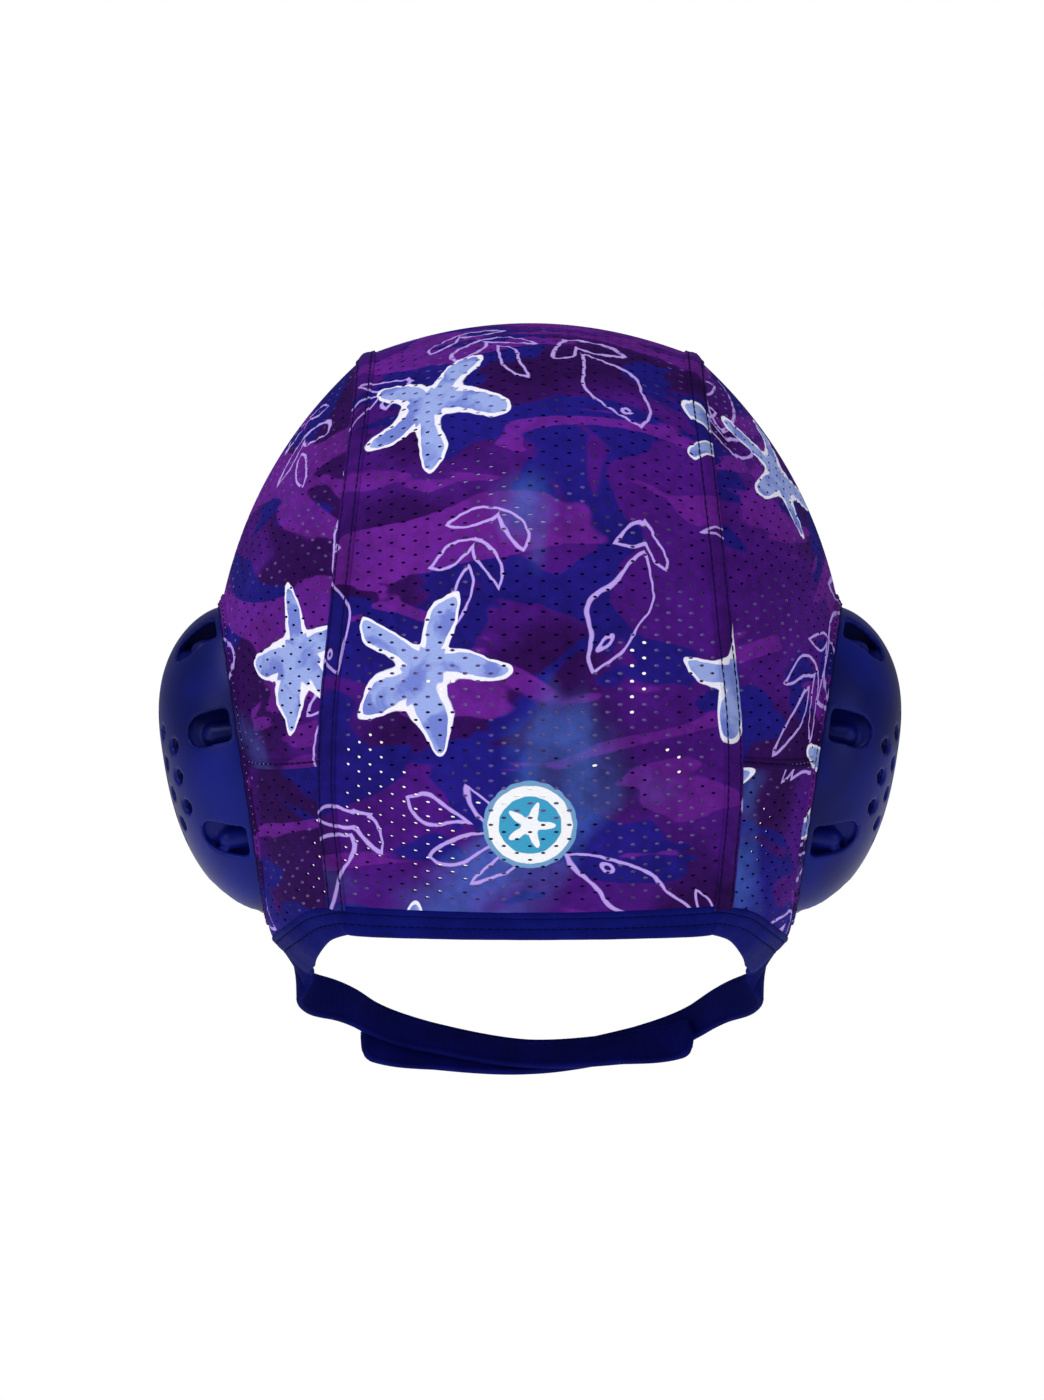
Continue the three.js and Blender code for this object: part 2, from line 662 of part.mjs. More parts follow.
/** The round-headed post behind a window, and the web that ties it to the wall below the window. */
function windowPost(angle) {
  const radius = POST_DIAMETER / 2;
  const profile = [
    new THREE.Vector2(0, GUARD_BOTTOM),
    new THREE.Vector2(radius, GUARD_BOTTOM),
    new THREE.Vector2(radius, POST_HEIGHT),
    new THREE.Vector2(radius * Math.cos(POST_SLOPE), POST_HEIGHT + radius * Math.sin(POST_SLOPE)),
    new THREE.Vector2(0, POST_HEIGHT + radius),
  ];
  const post = new THREE.LatheGeometry(profile, ROUND_SIDES);
  post.rotateX(Math.PI / 2);
  const wallAtHead = domePoint(angle, domeShare(POST_HEIGHT, GUARD_DEPTH - GUARD_WALL), GUARD_WALL);
  const foot = moved(wallAtHead, facing(angle), -(radius + POST_CLEARANCE)).setZ(0);
  post.translate(foot.x, foot.y, 0);

  const wallMiddle = domePoint(angle, 1, GUARD_WALL / 2);
  const length = wallMiddle.distanceTo(foot);
  const webTop = WINDOW_LIFT - WEB_DROP;
  const web = new THREE.BoxGeometry(WEB_WALL, webTop - GUARD_BOTTOM, length);
  web.translate(0, (webTop + GUARD_BOTTOM) / 2, length / 2);
  const along = wallMiddle.sub(foot).normalize();
  const sideways = LOCAL_OUT.clone().cross(along);
  web.applyMatrix4(new THREE.Matrix4().makeBasis(sideways, LOCAL_OUT, along).setPosition(foot));
  return toManifold(post).add(toManifold(web));
}

/** The wearer's right guard, pierced and placed. */
function earGuard() {
  let guard = toManifold(guardShell());
  for (const angle of windowAngles()) {
    guard = guard.subtract(toManifold(windowCutter(angle)));
  }
  for (const centre of ventCentres()) {
    guard = guard.subtract(toManifold(ventCutter(centre)));
  }
  guard = guard.add(toManifold(collar()));
  for (const angle of windowAngles()) {
    guard = guard.add(windowPost(angle));
  }
  return fromManifold(guard).applyMatrix4(guardMatrix);
}

// Binding

/** One section of a binding: an eight-sided ring below an edge point. */
function bandRing(edge, along, normal, height, lean) {
  const away = along.clone().cross(normal).normalize();
  const down = away.multiplyScalar(Math.cos(lean)).addScaledVector(normal, -Math.sin(lean)).normalize();
  const out = along.clone().cross(down).normalize();
  if (out.dot(normal) < 0) {
    out.negate();
  }
  const middle = moved(edge, normal, -CLOTH_WALL / 2);
  const half = BAND_WALL / 2;
  return BAND_CORNERS.map((c) => moved(moved(middle, down, SEAM_GAP + c.down * (height - SEAM_GAP)), out, c.out * half));
}

/** An edge sample mirrored to the wearer's left, running the other way. */
function mirroredSample({ point, normal, height, lean }) {
  const flip = (v) => new THREE.Vector3(-v.x, v.y, v.z);
  return { point: flip(point), normal: flip(normal), height, lean };
}

/** The sections of a band along a line of edge samples, square to the line. */
function bandRings(samples) {
  return samples.map((sample, i) => {
    const before = samples[Math.max(i - 1, 0)].point;
    const after = samples[Math.min(i + 1, samples.length - 1)].point;
    const along = after.clone().sub(before).normalize();
    return bandRing(sample.point, along, sample.normal, sample.height, sample.lean);
  });
}

/** A sample of the side cloth's free edge. */
function edgeSample(angle, height, lean) {
  return { point: edgePoint(angle), normal: sideNormal(angle, 1), height, lean };
}

/** The band below the nape and the ears, from the left front corner round to the right one. */
function napeRings() {
  const lean = (share) => THREE.MathUtils.lerp(NAPE_BAND_LEAN, CORNER_BAND_LEAN, share);
  const back = shares(PANEL_COLUMNS)
    .slice(1, -1)
    .map((share) => {
      const across = 2 * share - 1;
      return { point: panelPoint(1, across), normal: panelNormal(1, across), height: NAPE_BAND_HEIGHT, lean: lean(0) };
    });
  const side = angles(NAPE_ANGLE, CORNER_ANGLE, EDGE_STEPS).map((angle, i, list) => {
    const share = Math.min(1, (2 * i) / (list.length - 1));
    return edgeSample(angle, THREE.MathUtils.lerp(NAPE_BAND_HEIGHT, CORNER_BAND_HEIGHT, share), lean(share));
  });
  side[0].normal = seamNormal(1);
  return bandRings([...side.map(mirroredSample).reverse(), ...back, ...side]);
}

/** The band up the front edges and across the forehead. */
function faceRings() {
  const forehead = shares(PANEL_COLUMNS)
    .slice(1, -1)
    .map((share) => {
      const across = 2 * share - 1;
      const [point, normal] = [panelPoint(0, -across), panelNormal(0, -across)];
      return { point, normal, height: FACE_BAND_HEIGHT, lean: FACE_BAND_LEAN };
    });
  const edgeAngles = [
    CORNER_ANGLE + FACE_BAND_START,
    ...angles(CORNER_ANGLE, CROSS_SEAM_FRONT, EDGE_STEPS).slice(1, -1),
    ...angles(CROSS_SEAM_FRONT, FOREHEAD_ANGLE, EDGE_STEPS / 2),
  ];
  const side = edgeAngles.map((angle) => edgeSample(angle, FACE_BAND_HEIGHT, FACE_BAND_LEAN));
  side[side.length - 1].normal = seamNormal(0);
  return bandRings([...side, ...forehead, ...side.map(mirroredSample).reverse()]);
}

// Chin strap

/** The end of the nape binding on the wearer's right: its middle, and its directions up and out. */
function bindingEnd() {
  const ring = napeRings().at(-1);
  const middle = ring.reduce((sum, p) => sum.add(p), new THREE.Vector3()).divideScalar(ring.length);
  const up = ring[1].clone().sub(ring[2]).normalize();
  const out = ring[1].clone().sub(ring[6]).normalize();
  return { middle, up, out };
}

/** The middle line of the whole strap, from the wearer's right root over the chin to the left one. */
function strapLine() {
  const { middle, up, out } = bindingEnd();
  const root = moved(middle, out.clone().cross(up), -SEAM_GAP);
  const sections = STRAP_SECTIONS.map(
    (s) => new THREE.Vector3(s.out * GUARD_SPREAD, s.forward * STRAP_FORWARD, -s.drop * STRAP_DROP),
  );
  const half = [root, ...sections];
  const other = half.slice(0, -1).map((p) => new THREE.Vector3(-p.x, p.y, p.z)).reverse();
  return new THREE.CatmullRomCurve3([...half, ...other], false, 'centripetal');
}

/** The strap's roll at a distance from the centre line, from the table of its sections. */
function strapRoll(out) {
  const shareOut = Math.min(Math.abs(out) / GUARD_SPREAD, STRAP_SECTIONS[0].out);
  const next = STRAP_SECTIONS.findIndex((s) => s.out <= shareOut);
  const [near, far] = [STRAP_SECTIONS[Math.max(next, 1)], STRAP_SECTIONS[Math.max(next, 1) - 1]];
  const share = (shareOut - near.out) / (far.out - near.out);
  return THREE.MathUtils.degToRad(near.roll + (far.roll - near.roll) * share);
}

/** A strap from the wearer's right root to its free end past the chin, on the given layer (0 next to the chin). */
function strap(layer) {
  const line = strapLine();
  const rootOut = line.getPoint(0).x;
  const end = bindingEnd();
  const fine = shares(LINE_SAMPLES).map((s) => line.getPointAt(s));
  const reach = fine.findIndex((p) => p.x < -STRAP_END) / LINE_SAMPLES;
  const rings = shares(STRAP_STEPS).map((step) => {
    const share = step * reach;
    const point = line.getPointAt(share);
    const along = line.getTangentAt(share);
    const roll = strapRoll(point.x);
    const rolled = new THREE.Vector3(0, Math.sin(roll), Math.cos(roll));
    const wide = rolled.addScaledVector(along, -rolled.dot(along)).normalize();
    const out = wide.clone().cross(along).normalize();
    if (step === 0) {
      wide.copy(end.up);
      out.copy(end.out);
    }
    const fromRoot = THREE.MathUtils.smoothstep(rootOut - point.x, 0, rootOut - STRAP_END - STRAP_WALL);
    const sideways = THREE.MathUtils.clamp(point.x / STRAP_END, -1, 1) * fromRoot * STRAP_CROSSING;
    const lift = layer * (STRAP_WALL + SEAM_GAP) * fromRoot;
    const middle = moved(moved(point, wide, sideways), out, lift);
    return STRAP_CORNERS.map((c) =>
      moved(moved(middle, wide, (c.wide * STRAP_WIDTH) / 2), out, (c.out * STRAP_WALL) / 2),
    );
  });
  return swept(rings);
}

// Assembly

const cap = new THREE.Group();
cap.position.z = CLOTH_WALL;

/** Adds a named piece to the cap. */
function addPiece(name, geometry, material) {
  const mesh = new THREE.Mesh(geometry, material);
  mesh.name = name;
  cap.add(mesh);
}

/** Adds a piece on the wearer's right and its mirror on the left. */
function addPair(name, geometry, material) {
  addPiece(`${name}_right`, geometry, material);
  addPiece(`${name}_left`, mirrored(geometry), material);
}

addPiece('centre_panel', centrePanel(), CLOTH);
addPair('side_upper', upperSidePanel(), CLOTH);
addPair('side_lower', lowerSidePanel(), CLOTH);
addPair('ear_guard', earGuard(), PLASTIC);
addPiece('nape_binding', swept(napeRings()), TAPE);
addPiece('face_binding', swept(faceRings()), TAPE);
addPiece('chin_strap_right', strap(0), TAPE);
addPiece('chin_strap_left', mirrored(strap(1)), TAPE);

export default cap;
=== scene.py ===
"""A water polo cap: perforated cloth panels, moulded ear guards, bound edges and a closed chin strap.

Metres, +Z up, +Y the way the wearer faces, +X the wearer's right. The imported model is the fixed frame.
"""
import logging
import math
from dataclasses import dataclass, field
from enum import Enum
from typing import Callable, Sequence

import bpy
import numpy as np
from mathutils import Matrix, Vector

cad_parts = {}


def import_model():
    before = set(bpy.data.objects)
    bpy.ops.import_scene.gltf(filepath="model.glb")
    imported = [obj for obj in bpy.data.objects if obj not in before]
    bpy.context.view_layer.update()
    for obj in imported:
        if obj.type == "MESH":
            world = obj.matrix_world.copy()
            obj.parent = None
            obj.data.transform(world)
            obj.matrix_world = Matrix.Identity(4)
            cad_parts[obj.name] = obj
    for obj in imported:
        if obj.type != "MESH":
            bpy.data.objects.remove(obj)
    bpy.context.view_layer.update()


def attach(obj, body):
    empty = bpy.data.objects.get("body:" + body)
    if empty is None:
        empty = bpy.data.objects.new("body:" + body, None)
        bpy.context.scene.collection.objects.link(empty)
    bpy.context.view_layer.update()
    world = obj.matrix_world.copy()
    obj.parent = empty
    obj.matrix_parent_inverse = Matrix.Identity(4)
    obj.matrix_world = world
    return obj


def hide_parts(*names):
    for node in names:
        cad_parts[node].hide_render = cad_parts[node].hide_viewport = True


Array = np.ndarray
Object, Mesh, Material = bpy.types.Object, bpy.types.Mesh, bpy.types.Material
Node, Socket = bpy.types.Node, bpy.types.NodeSocket
# Points and faces
Form = tuple[Array, list[tuple[int, ...]]]
# Points on the cloth, directions out of it and places in the print, by place along a seam and offset
Grid = tuple[Array, Array, Array]
# An edge's points, normals, tape heights and tape leans
Edge = tuple[Array, Array, Array, Array]
log = logging.getLogger("cap")

MM = 0.001
TURN = 2 * math.pi


class Side(Enum):
    """The wearer's two sides, as the sign of X."""

    RIGHT = 1
    LEFT = -1

    @property
    def word(self) -> str:
        """The side's name as the nodes have it."""
        return self.name.lower()


class Level(Enum):
    """The side cloth above and below the cross seams, as the sign of its flat height."""

    UPPER = 1
    LOWER = -1


def unit(vectors: Array) -> Array:
    """Vectors scaled to length one."""
    return vectors / np.maximum(np.linalg.norm(vectors, axis=-1, keepdims=True), 1e-12)


def smoothstep(values: Array) -> Array:
    """A soft step from 0 to 1."""
    held = np.clip(values, 0.0, 1.0)
    return held * held * (3 - 2 * held)


def lengths_along(points: Array) -> Array:
    """The distance of each point of a line from its start."""
    steps = np.linalg.norm(np.diff(points, axis=0), axis=1)
    return np.concatenate([[0.0], np.cumsum(steps)])


def resampled(count: int, line: Array, *others: Array) -> list[Array]:
    """A line and what goes with its points, spread evenly.

    Args:
        count: How many points the result has.
        line: The line's points.
        others: Arrays with a row for each of its points.

    Returns:
        The new line, then each other array at the same places.
    """
    lengths = lengths_along(line)
    wanted = np.linspace(0, lengths[-1], count)
    result = []
    for values in (line, *others):
        columns = values.reshape(len(line), -1).T
        mixed = np.stack([np.interp(wanted, lengths, column) for column in columns], axis=1)
        result.append(mixed.reshape((count,) + values.shape[1:]))
    return result


def softened(vectors: Array, rounds: int) -> Array:
    """Directions along a line, evened out with their neighbours."""
    for _ in range(rounds):
        middle = vectors[:-2] + 2 * vectors[1:-1] + vectors[2:]
        vectors = unit(np.vstack([vectors[:1], middle, vectors[-1:]]))
    return vectors


def set_back(line: Array, facing: Array, distance: float) -> tuple[Array, Array]:
    """A line and its facing directions, started a distance further along."""
    lengths = lengths_along(line)
    first = [np.interp(distance, lengths, column) for column in line.T]
    kept = lengths > distance
    return np.vstack([[first], line[kept]]), np.vstack([facing[:1], facing[kept]])


class Curve:
    """A centripetal Catmull-Rom curve through points."""

    def __init__(self, points: Sequence[Sequence[float]]) -> None:
        """Takes the points in order."""
        self.points = np.asarray(points, float)

    def at(self, share: Array) -> Array:
        """The curve's points at shares of its run, 0 to 1."""
        share = np.atleast_1d(np.asarray(share, float))
        own = self.points
        ghost = np.vstack([2 * own[0] - own[1], own, 2 * own[-1] - own[-2]])
        place = np.clip(share, 0, 1) * (len(own) - 1)
        index = np.minimum(place.astype(int), len(own) - 2)
        w = (place - index)[:, None]
        p0, p1, p2, p3 = (ghost[index + k] for k in range(4))
        pairs = ((p0, p1), (p1, p2), (p2, p3))
        d0, d1, d2 = (np.sum((b - a) ** 2, axis=1, keepdims=True) ** 0.25 for a, b in pairs)
        start = ((p1 - p0) / d0 - (p2 - p0) / (d0 + d1) + (p2 - p1) / d1) * d1
        end = ((p2 - p1) / d1 - (p3 - p1) / (d1 + d2) + (p3 - p2) / d2) * d1
        squared, cubed = 3 * (p2 - p1) - 2 * start - end, 2 * (p1 - p2) + start + end
        return p1 + start * w + squared * w**2 + cubed * w**3


@dataclass(frozen=True)
class CapSizes:
    """The cap's driving sizes."""

    length: float = 198 * MM
    middle: float = -2 * MM
    drop: float = 177.3 * MM
    panel_half_width: float = 61 * MM
    cloth_wall: float = 1.5 * MM
    cloth_bulge: float = 0.085
    seam_gap: float = 0.3 * MM
    guard_spread: float = 85.5 * MM
    guard_drop: float = 131 * MM
    guard_forward: float = -5 * MM
    guard_lean: float = math.radians(8.7)
    guard_height: float = 93 * MM
    guard_width: float = 68 * MM


# Forward and drop of the centre line, then out, forward and drop of the seam, as shares of the cap's sizes
PANEL_SECTIONS = (
    (1.0, 0.406, 0.885, 0.869, 0.429),
    (0.99, 0.293, 0.885, 0.859, 0.327),
    (0.899, 0.164, 0.869, 0.788, 0.22),
    (0.687, 0.062, 0.836, 0.616, 0.121),
    (0.404, 0.011, 0.82, 0.374, 0.068),
    (0.101, 0.0, 0.811, 0.081, 0.056),
    (-0.263, 0.014, 0.811, -0.222, 0.071),
    (-0.566, 0.079, 0.828, -0.465, 0.147),
    (-0.788, 0.192, 0.861, -0.646, 0.243),
    (-0.929, 0.35, 0.902, -0.747, 0.372),
    (-0.99, 0.519, 0.943, -0.778, 0.519),
    (-1.0, 0.666, 0.984, -0.758, 0.666),
    (-0.949, 0.807, 0.992, -0.722, 0.801),
    (-0.859, 0.919, 0.967, -0.667, 0.908),
    (-0.768, 1.0, 0.946, -0.606, 0.989),
)
# Out, forward and drop of the side cloth's free edges
LOWER_EDGE = ((0.772, -0.495, 1.0), (0.854, -0.323, 1.027), (0.895, -0.081, 1.043), (0.883, 0.162, 1.049))
FRONT_EDGE = (
    (0.912, 0.283, 0.959),
    (0.93, 0.384, 0.846),
    (0.936, 0.455, 0.722),
    (0.924, 0.525, 0.609),
    (0.865, 0.626, 0.519),
    (0.772, 0.747, 0.462),
)


class CapForm:
    """The cap's surfaces as functions, in the frame."""

    FINE = 240
    PANEL_STEP = (0.004, 0.02)
    SIDE_STEP = (0.02, 0.02)
    # How far down the drop the head's middle lies
    HEAD_MIDDLE = 0.56

    def __init__(self, sizes: CapSizes) -> None:
        """Works out the seams, the edges and the guards' places."""
        self.sizes = sizes
        rows = np.array(PANEL_SECTIONS)
        self.centre_line = Curve(self.places(np.zeros(len(rows)), 0.0, rows[:, 0], rows[:, 1]))
        self.seam_line = Curve(self.places(rows[:, 2], sizes.panel_half_width, rows[:, 3], rows[:, 4]))
        self.head = np.array([0, sizes.middle, sizes.cloth_wall - self.HEAD_MIDDLE * sizes.drop])
        guard_height = sizes.cloth_wall - sizes.guard_drop
        self.guard_centre = np.array([sizes.guard_spread, sizes.guard_forward, guard_height])
        lean = sizes.guard_lean
        self.guard_forward = np.array([0.0, 1.0, 0.0])
        self.guard_up = np.array([math.sin(lean), 0.0, math.cos(lean)])
        self.guard_out = np.array([math.cos(lean), 0.0, -math.sin(lean)])
        nape, forehead = self.seam_line.at(1)[0], self.seam_line.at(0)[0]
        self.lower_edge = Curve([nape, *self.edge_places(LOWER_EDGE)])
        corner = self.lower_edge.at(1)[0]
        self.front_edge = Curve([corner, *self.edge_places(FRONT_EDGE), forehead])
        self.nape_angle = self.angle_of(nape[None])[0]
        self.corner_angle = self.angle_of(corner[None])[0]
        self.forehead_angle = self.angle_of(forehead[None])[0]
        self._gather_boundary()

    def places(self, out: Array, out_size: float, forward: Array, drop: Array) -> Array:
        """Points from columns of shares."""
        s = self.sizes
        y, z = s.middle + forward * s.length / 2, s.cloth_wall - drop * s.drop
        return np.stack([out * out_size, y, z], axis=1)

    def edge_places(self, rows: Sequence[Sequence[float]]) -> Array:
        """The points of a free edge's table."""
        table = np.array(rows)
        return self.places(table[:, 0], self.sizes.guard_spread, table[:, 1], table[:, 2])

    def angle_of(self, points: Array) -> Array:
        """Angles round the right guard's middle, from the top towards the back."""
        back = self.guard_centre[1] - points[:, 1]
        up = points[:, 2] - self.guard_centre[2]
        return np.mod(np.arctan2(back, up), TURN)

    def _gather_boundary(self) -> None:
        """Sorts the side cloth's outer boundary by angle."""
        seam = self.seam_line.at(np.linspace(0, 1, self.FINE + 1))
        lower = self.lower_edge.at(np.linspace(0, 1, self.FINE // 2 + 1))[1:]
        front = self.front_edge.at(np.linspace(0, 1, self.FINE // 2 + 1))[1:-1]
        points = np.vstack([seam, lower, front])
        angles = self.angle_of(points)
        order = np.argsort(angles)
        angles, points = angles[order], points[order]
        self.edge_angles = np.concatenate([[angles[-1] - TURN], angles, [angles[0] + TURN]])
        self.edge_points = np.vstack([points[-1:], points, points[:1]])

    def panel_point(self, along: Array, across: Array) -> Array:
        """Points of the centre panel: along from forehead to nape, across from seam to seam, -1 to 1."""
        middle, seam = self.centre_line.at(along), self.seam_line.at(along)
        bend = (across * across)[:, None]
        section = middle[:, 1:] + (seam[:, 1:] - middle[:, 1:]) * bend
        return np.hstack([seam[:, :1] * across[:, None], section])

    def normals(self, surface: Callable, u: Array, v: Array, step: tuple[float, float]) -> Array:
        """The outward normals of a surface of two values."""
        across_u = surface(u + step[0], v) - surface(u - step[0], v)
        across_v = surface(u, v + step[1]) - surface(u, v - step[1])
        normal = unit(np.cross(across_u, across_v))
        outward = np.sum(normal * (surface(u, v) - self.head), axis=1, keepdims=True)
        return np.where(outward < 0, -normal, normal)

    def panel_normal(self, along: Array, across: Array) -> Array:
        """The centre panel's outward normals."""
        step = self.PANEL_STEP[0]
        return self.normals(self.panel_point, np.clip(along, step, 1 - step), across, self.PANEL_STEP)

    def rim_point(self, angle: Array, grow: float = 0.0) -> Array:
        """The right guard's sewing edge, grown by a distance."""
        s = self.sizes
        forward = -(s.guard_width / 2 + grow) * np.sin(angle)
        up = (s.guard_height / 2 + grow) * np.cos(angle)
        return self.guard_centre + forward[:, None] * self.guard_forward + up[:, None] * self.guard_up

    def edge_point(self, angle: Array) -> Array:
        """The side cloth's outer boundary at angles."""
        wanted = np.mod(angle, TURN)
        columns = [np.interp(wanted, self.edge_angles, column) for column in self.edge_points.T]
        return np.stack(columns, axis=1)

    def side_point(self, angle: Array, share: Array) -> Array:
        """Points of the right side cloth: share runs from the guard, 0, to the boundary, 1."""
        rim, edge = self.rim_point(angle), self.edge_point(angle)
        chord = edge - rim
        length = np.linalg.norm(chord, axis=1, keepdims=True)
        outward = (rim + edge) / 2 - self.head
        outward = unit(outward - chord * np.sum(outward * chord, axis=1, keepdims=True) / length**2)
        part = share[:, None]
        return rim + chord * part + outward * self.sizes.cloth_bulge * length * 4 * part * (1 - part)

    def side_normal(self, angle: Array, share: Array) -> Array:
        """The side cloth's outward normals."""
        step = self.SIDE_STEP[1]
        return self.normals(self.side_point, angle, np.clip(share, step, 1 - step), self.SIDE_STEP)

    def guard_frame(self) -> Matrix:
        """The right guard's frame: forward, up and out, at the middle of its sewing edge."""
        columns = np.stack([self.guard_forward, self.guard_up, self.guard_out, self.guard_centre], axis=1)
        return Matrix(np.vstack([columns, [0, 0, 0, 1]]).tolist())


# Meshes


def shade(mesh: Mesh, sharp_from: float | None = None) -> None:
    """Shades a mesh smooth, but for edges sharper than an angle in degrees."""
    mesh.polygons.foreach_set("use_smooth", [True] * len(mesh.polygons))
    if sharp_from is not None:
        mesh.set_sharp_from_angle(angle=math.radians(sharp_from))


def in_scene(name: str, data: bpy.types.ID) -> Object:
    """An object in the scene for a mesh, a lamp or a camera."""
    thing = bpy.data.objects.new(name, data)
    bpy.context.scene.collection.objects.link(thing)
    return thing


def mesh_object(
    name: str, mesh: Mesh, material: Material | None = None,
    sharp_from: float | None = None,
) -> Object:
    """An object in the scene for a mesh, shaded and in its material."""
    piece = in_scene(name, mesh)
    if material is not None:
        mesh.materials.append(material)
    shade(mesh, sharp_from)
    return piece


def note(mesh: Mesh, name: str, domain: str, values: Array) -> None:
    """Gives a mesh a vector attribute, with zero where a value has no third part."""
    vectors = np.zeros((len(values), 3), np.float32)
    vectors[:, : values.shape[1]] = values
    mesh.attributes.new(name, "FLOAT_VECTOR", domain).data.foreach_set("vector", vectors.ravel())


def corner_points(mesh: Mesh) -> Array:
    """The point's number at each face corner."""
    corners = np.zeros(len(mesh.loops), int)
    mesh.loops.foreach_get("vertex_index", corners)
    return corners


def mesh_from(name: str, points: Array, faces: Sequence[Sequence[int]], flat: Array | None = None) -> Mesh:
    """A mesh from points and faces, with flat cloth places as its UV map."""
    mesh = bpy.data.meshes.new(name)
    mesh.from_pydata(points.tolist(), [], [list(face) for face in faces])
    if flat is not None:
        layer = mesh.uv_layers.new(name="flat")
        layer.data.foreach_set("uv", flat[corner_points(mesh)].astype(np.float32).ravel())
    mesh.update()
    return mesh


def mirrored(points: Array) -> Array:
    """Points on the wearer's other side."""
    return points * np.array([-1.0, 1.0, 1.0])


def grid_faces(rows: int, columns: int, closed_rows: bool, closed_columns: bool) -> list[tuple[int, ...]]:
    """The faces between neighbouring points of a grid."""
    faces = []
    for r in range(rows if closed_rows else rows - 1):
        for c in range(columns if closed_columns else columns - 1):
            r2, c2 = (r + 1) % rows, (c + 1) % columns
            faces.append((r * columns + c, r * columns + c2, r2 * columns + c2, r2 * columns + c))
    return faces


def outward_faces(points: Array, faces: list[tuple[int, ...]]) -> list[tuple[int, ...]]:
    """The faces of a closed surface, all turned outwards together."""
    volume = 0.0
    for face in faces:
        first = points[face[0]]
        for a, b in zip(face[1:-1], face[2:]):
            volume += float(np.dot(first, np.cross(points[a], points[b])))
    return faces if volume > 0 else [tuple(reversed(face)) for face in faces]


def closed_form(rings: Array, closed: bool = False) -> Form:
    """A closed form through rings of points, with ends where the last ring doesn't join the first."""
    count, sides = rings.shape[:2]
    faces = grid_faces(count, sides, closed, True)
    if not closed:
        faces.append(tuple(reversed(range(sides))))
        faces.append(tuple((count - 1) * sides + s for s in range(sides)))
    points = rings.reshape(-1, 3)
    return points, outward_faces(points, faces)


def swept(name: str, rings: Array, flat: Array, closed: bool = False) -> Mesh:
    """A closed mesh through rings of points.

    Args:
        name: The mesh's name.
        rings: Points, by ring and place in the ring.
        flat: Cloth places for the same points.
        closed: Whether the last ring joins the first.

    Returns:
        The mesh, with ends where it isn't closed.
    """
    return mesh_from(name, *closed_form(rings, closed), flat.reshape(-1, 2))


def finished(piece: Object, replaces: Sequence[str] = (), body: str = "root") -> Object:
    """Fixes a finished piece to its body and hides the CAD nodes that it stands for.

    Args:
        piece: The piece, with no modifier left on it.
        replaces: CAD nodes that it stands for.
        body: The body that it rides on.

    Returns:
        The piece.
    """
    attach(piece, body)
    if replaces:
        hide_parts(*replaces)
    piece.data.calc_loop_triangles()
    log.info("%s: %d triangles", piece.name, len(piece.data.loop_triangles))
    return piece


def baked(piece: Object) -> Object:
    """The piece with its modifiers worked into its mesh."""
    bpy.context.view_layer.update()
    graph = bpy.context.evaluated_depsgraph_get()
    shaped = piece.evaluated_get(graph)
    mesh = bpy.data.meshes.new_from_object(shaped, preserve_all_data_layers=True, depsgraph=graph)
    piece.modifiers.clear()
    piece.data = mesh
    return piece


# Node trees


class Tree:
    """A node tree that is built one node at a time."""

    def __init__(self, tree: bpy.types.NodeTree) -> None:
        """Takes an empty tree."""
        self.tree = tree

    def add(self, kind: str, *values: object, **settings: object) -> Node:
        """Adds a node.

        Args:
            kind: The node's type.
            values: What its inputs get in order, a socket, a node, a plain value or None to leave one alone.
            settings: Its properties.

        Returns:
            The node.
        """
        node = self.tree.nodes.new(kind)
        for key, value in settings.items():
            setattr(node, key, value)
        shown = [socket for socket in node.inputs if socket.enabled]
        for socket, value in zip(shown, values):
            self.feed(socket, value)
        return node

    def feed(self, socket: Socket, value: object) -> None:
        """Links or sets one input."""
        if isinstance(value, Node):
            value = next(out for out in value.outputs if out.enabled)
        if isinstance(value, Socket):
            self.tree.links.new(value, socket)
        elif value is not None:
            socket.default_value = value

    def number(self, operation: str, *values: object) -> Node:
        """A plain sum."""
        return self.add("ShaderNodeMath", *values, operation=operation)

    def vector(self, operation: str, *values: object) -> Node:
        """A vector sum."""
        return self.add("ShaderNodeVectorMath", *values, operation=operation)

    def ranged(self, value: object, *limits: float) -> Node:
        """A value moved from one range, the first two limits, to another."""
        return self.add("ShaderNodeMapRange", value, *limits)

    def noise(self, place: object, scale: object, detail: float = 2.0, distortion: float = 0.0) -> Node:
        """Cloud noise, 0 to 1."""
        return self.add("ShaderNodeTexNoise", place, scale, detail, None, None, distortion)


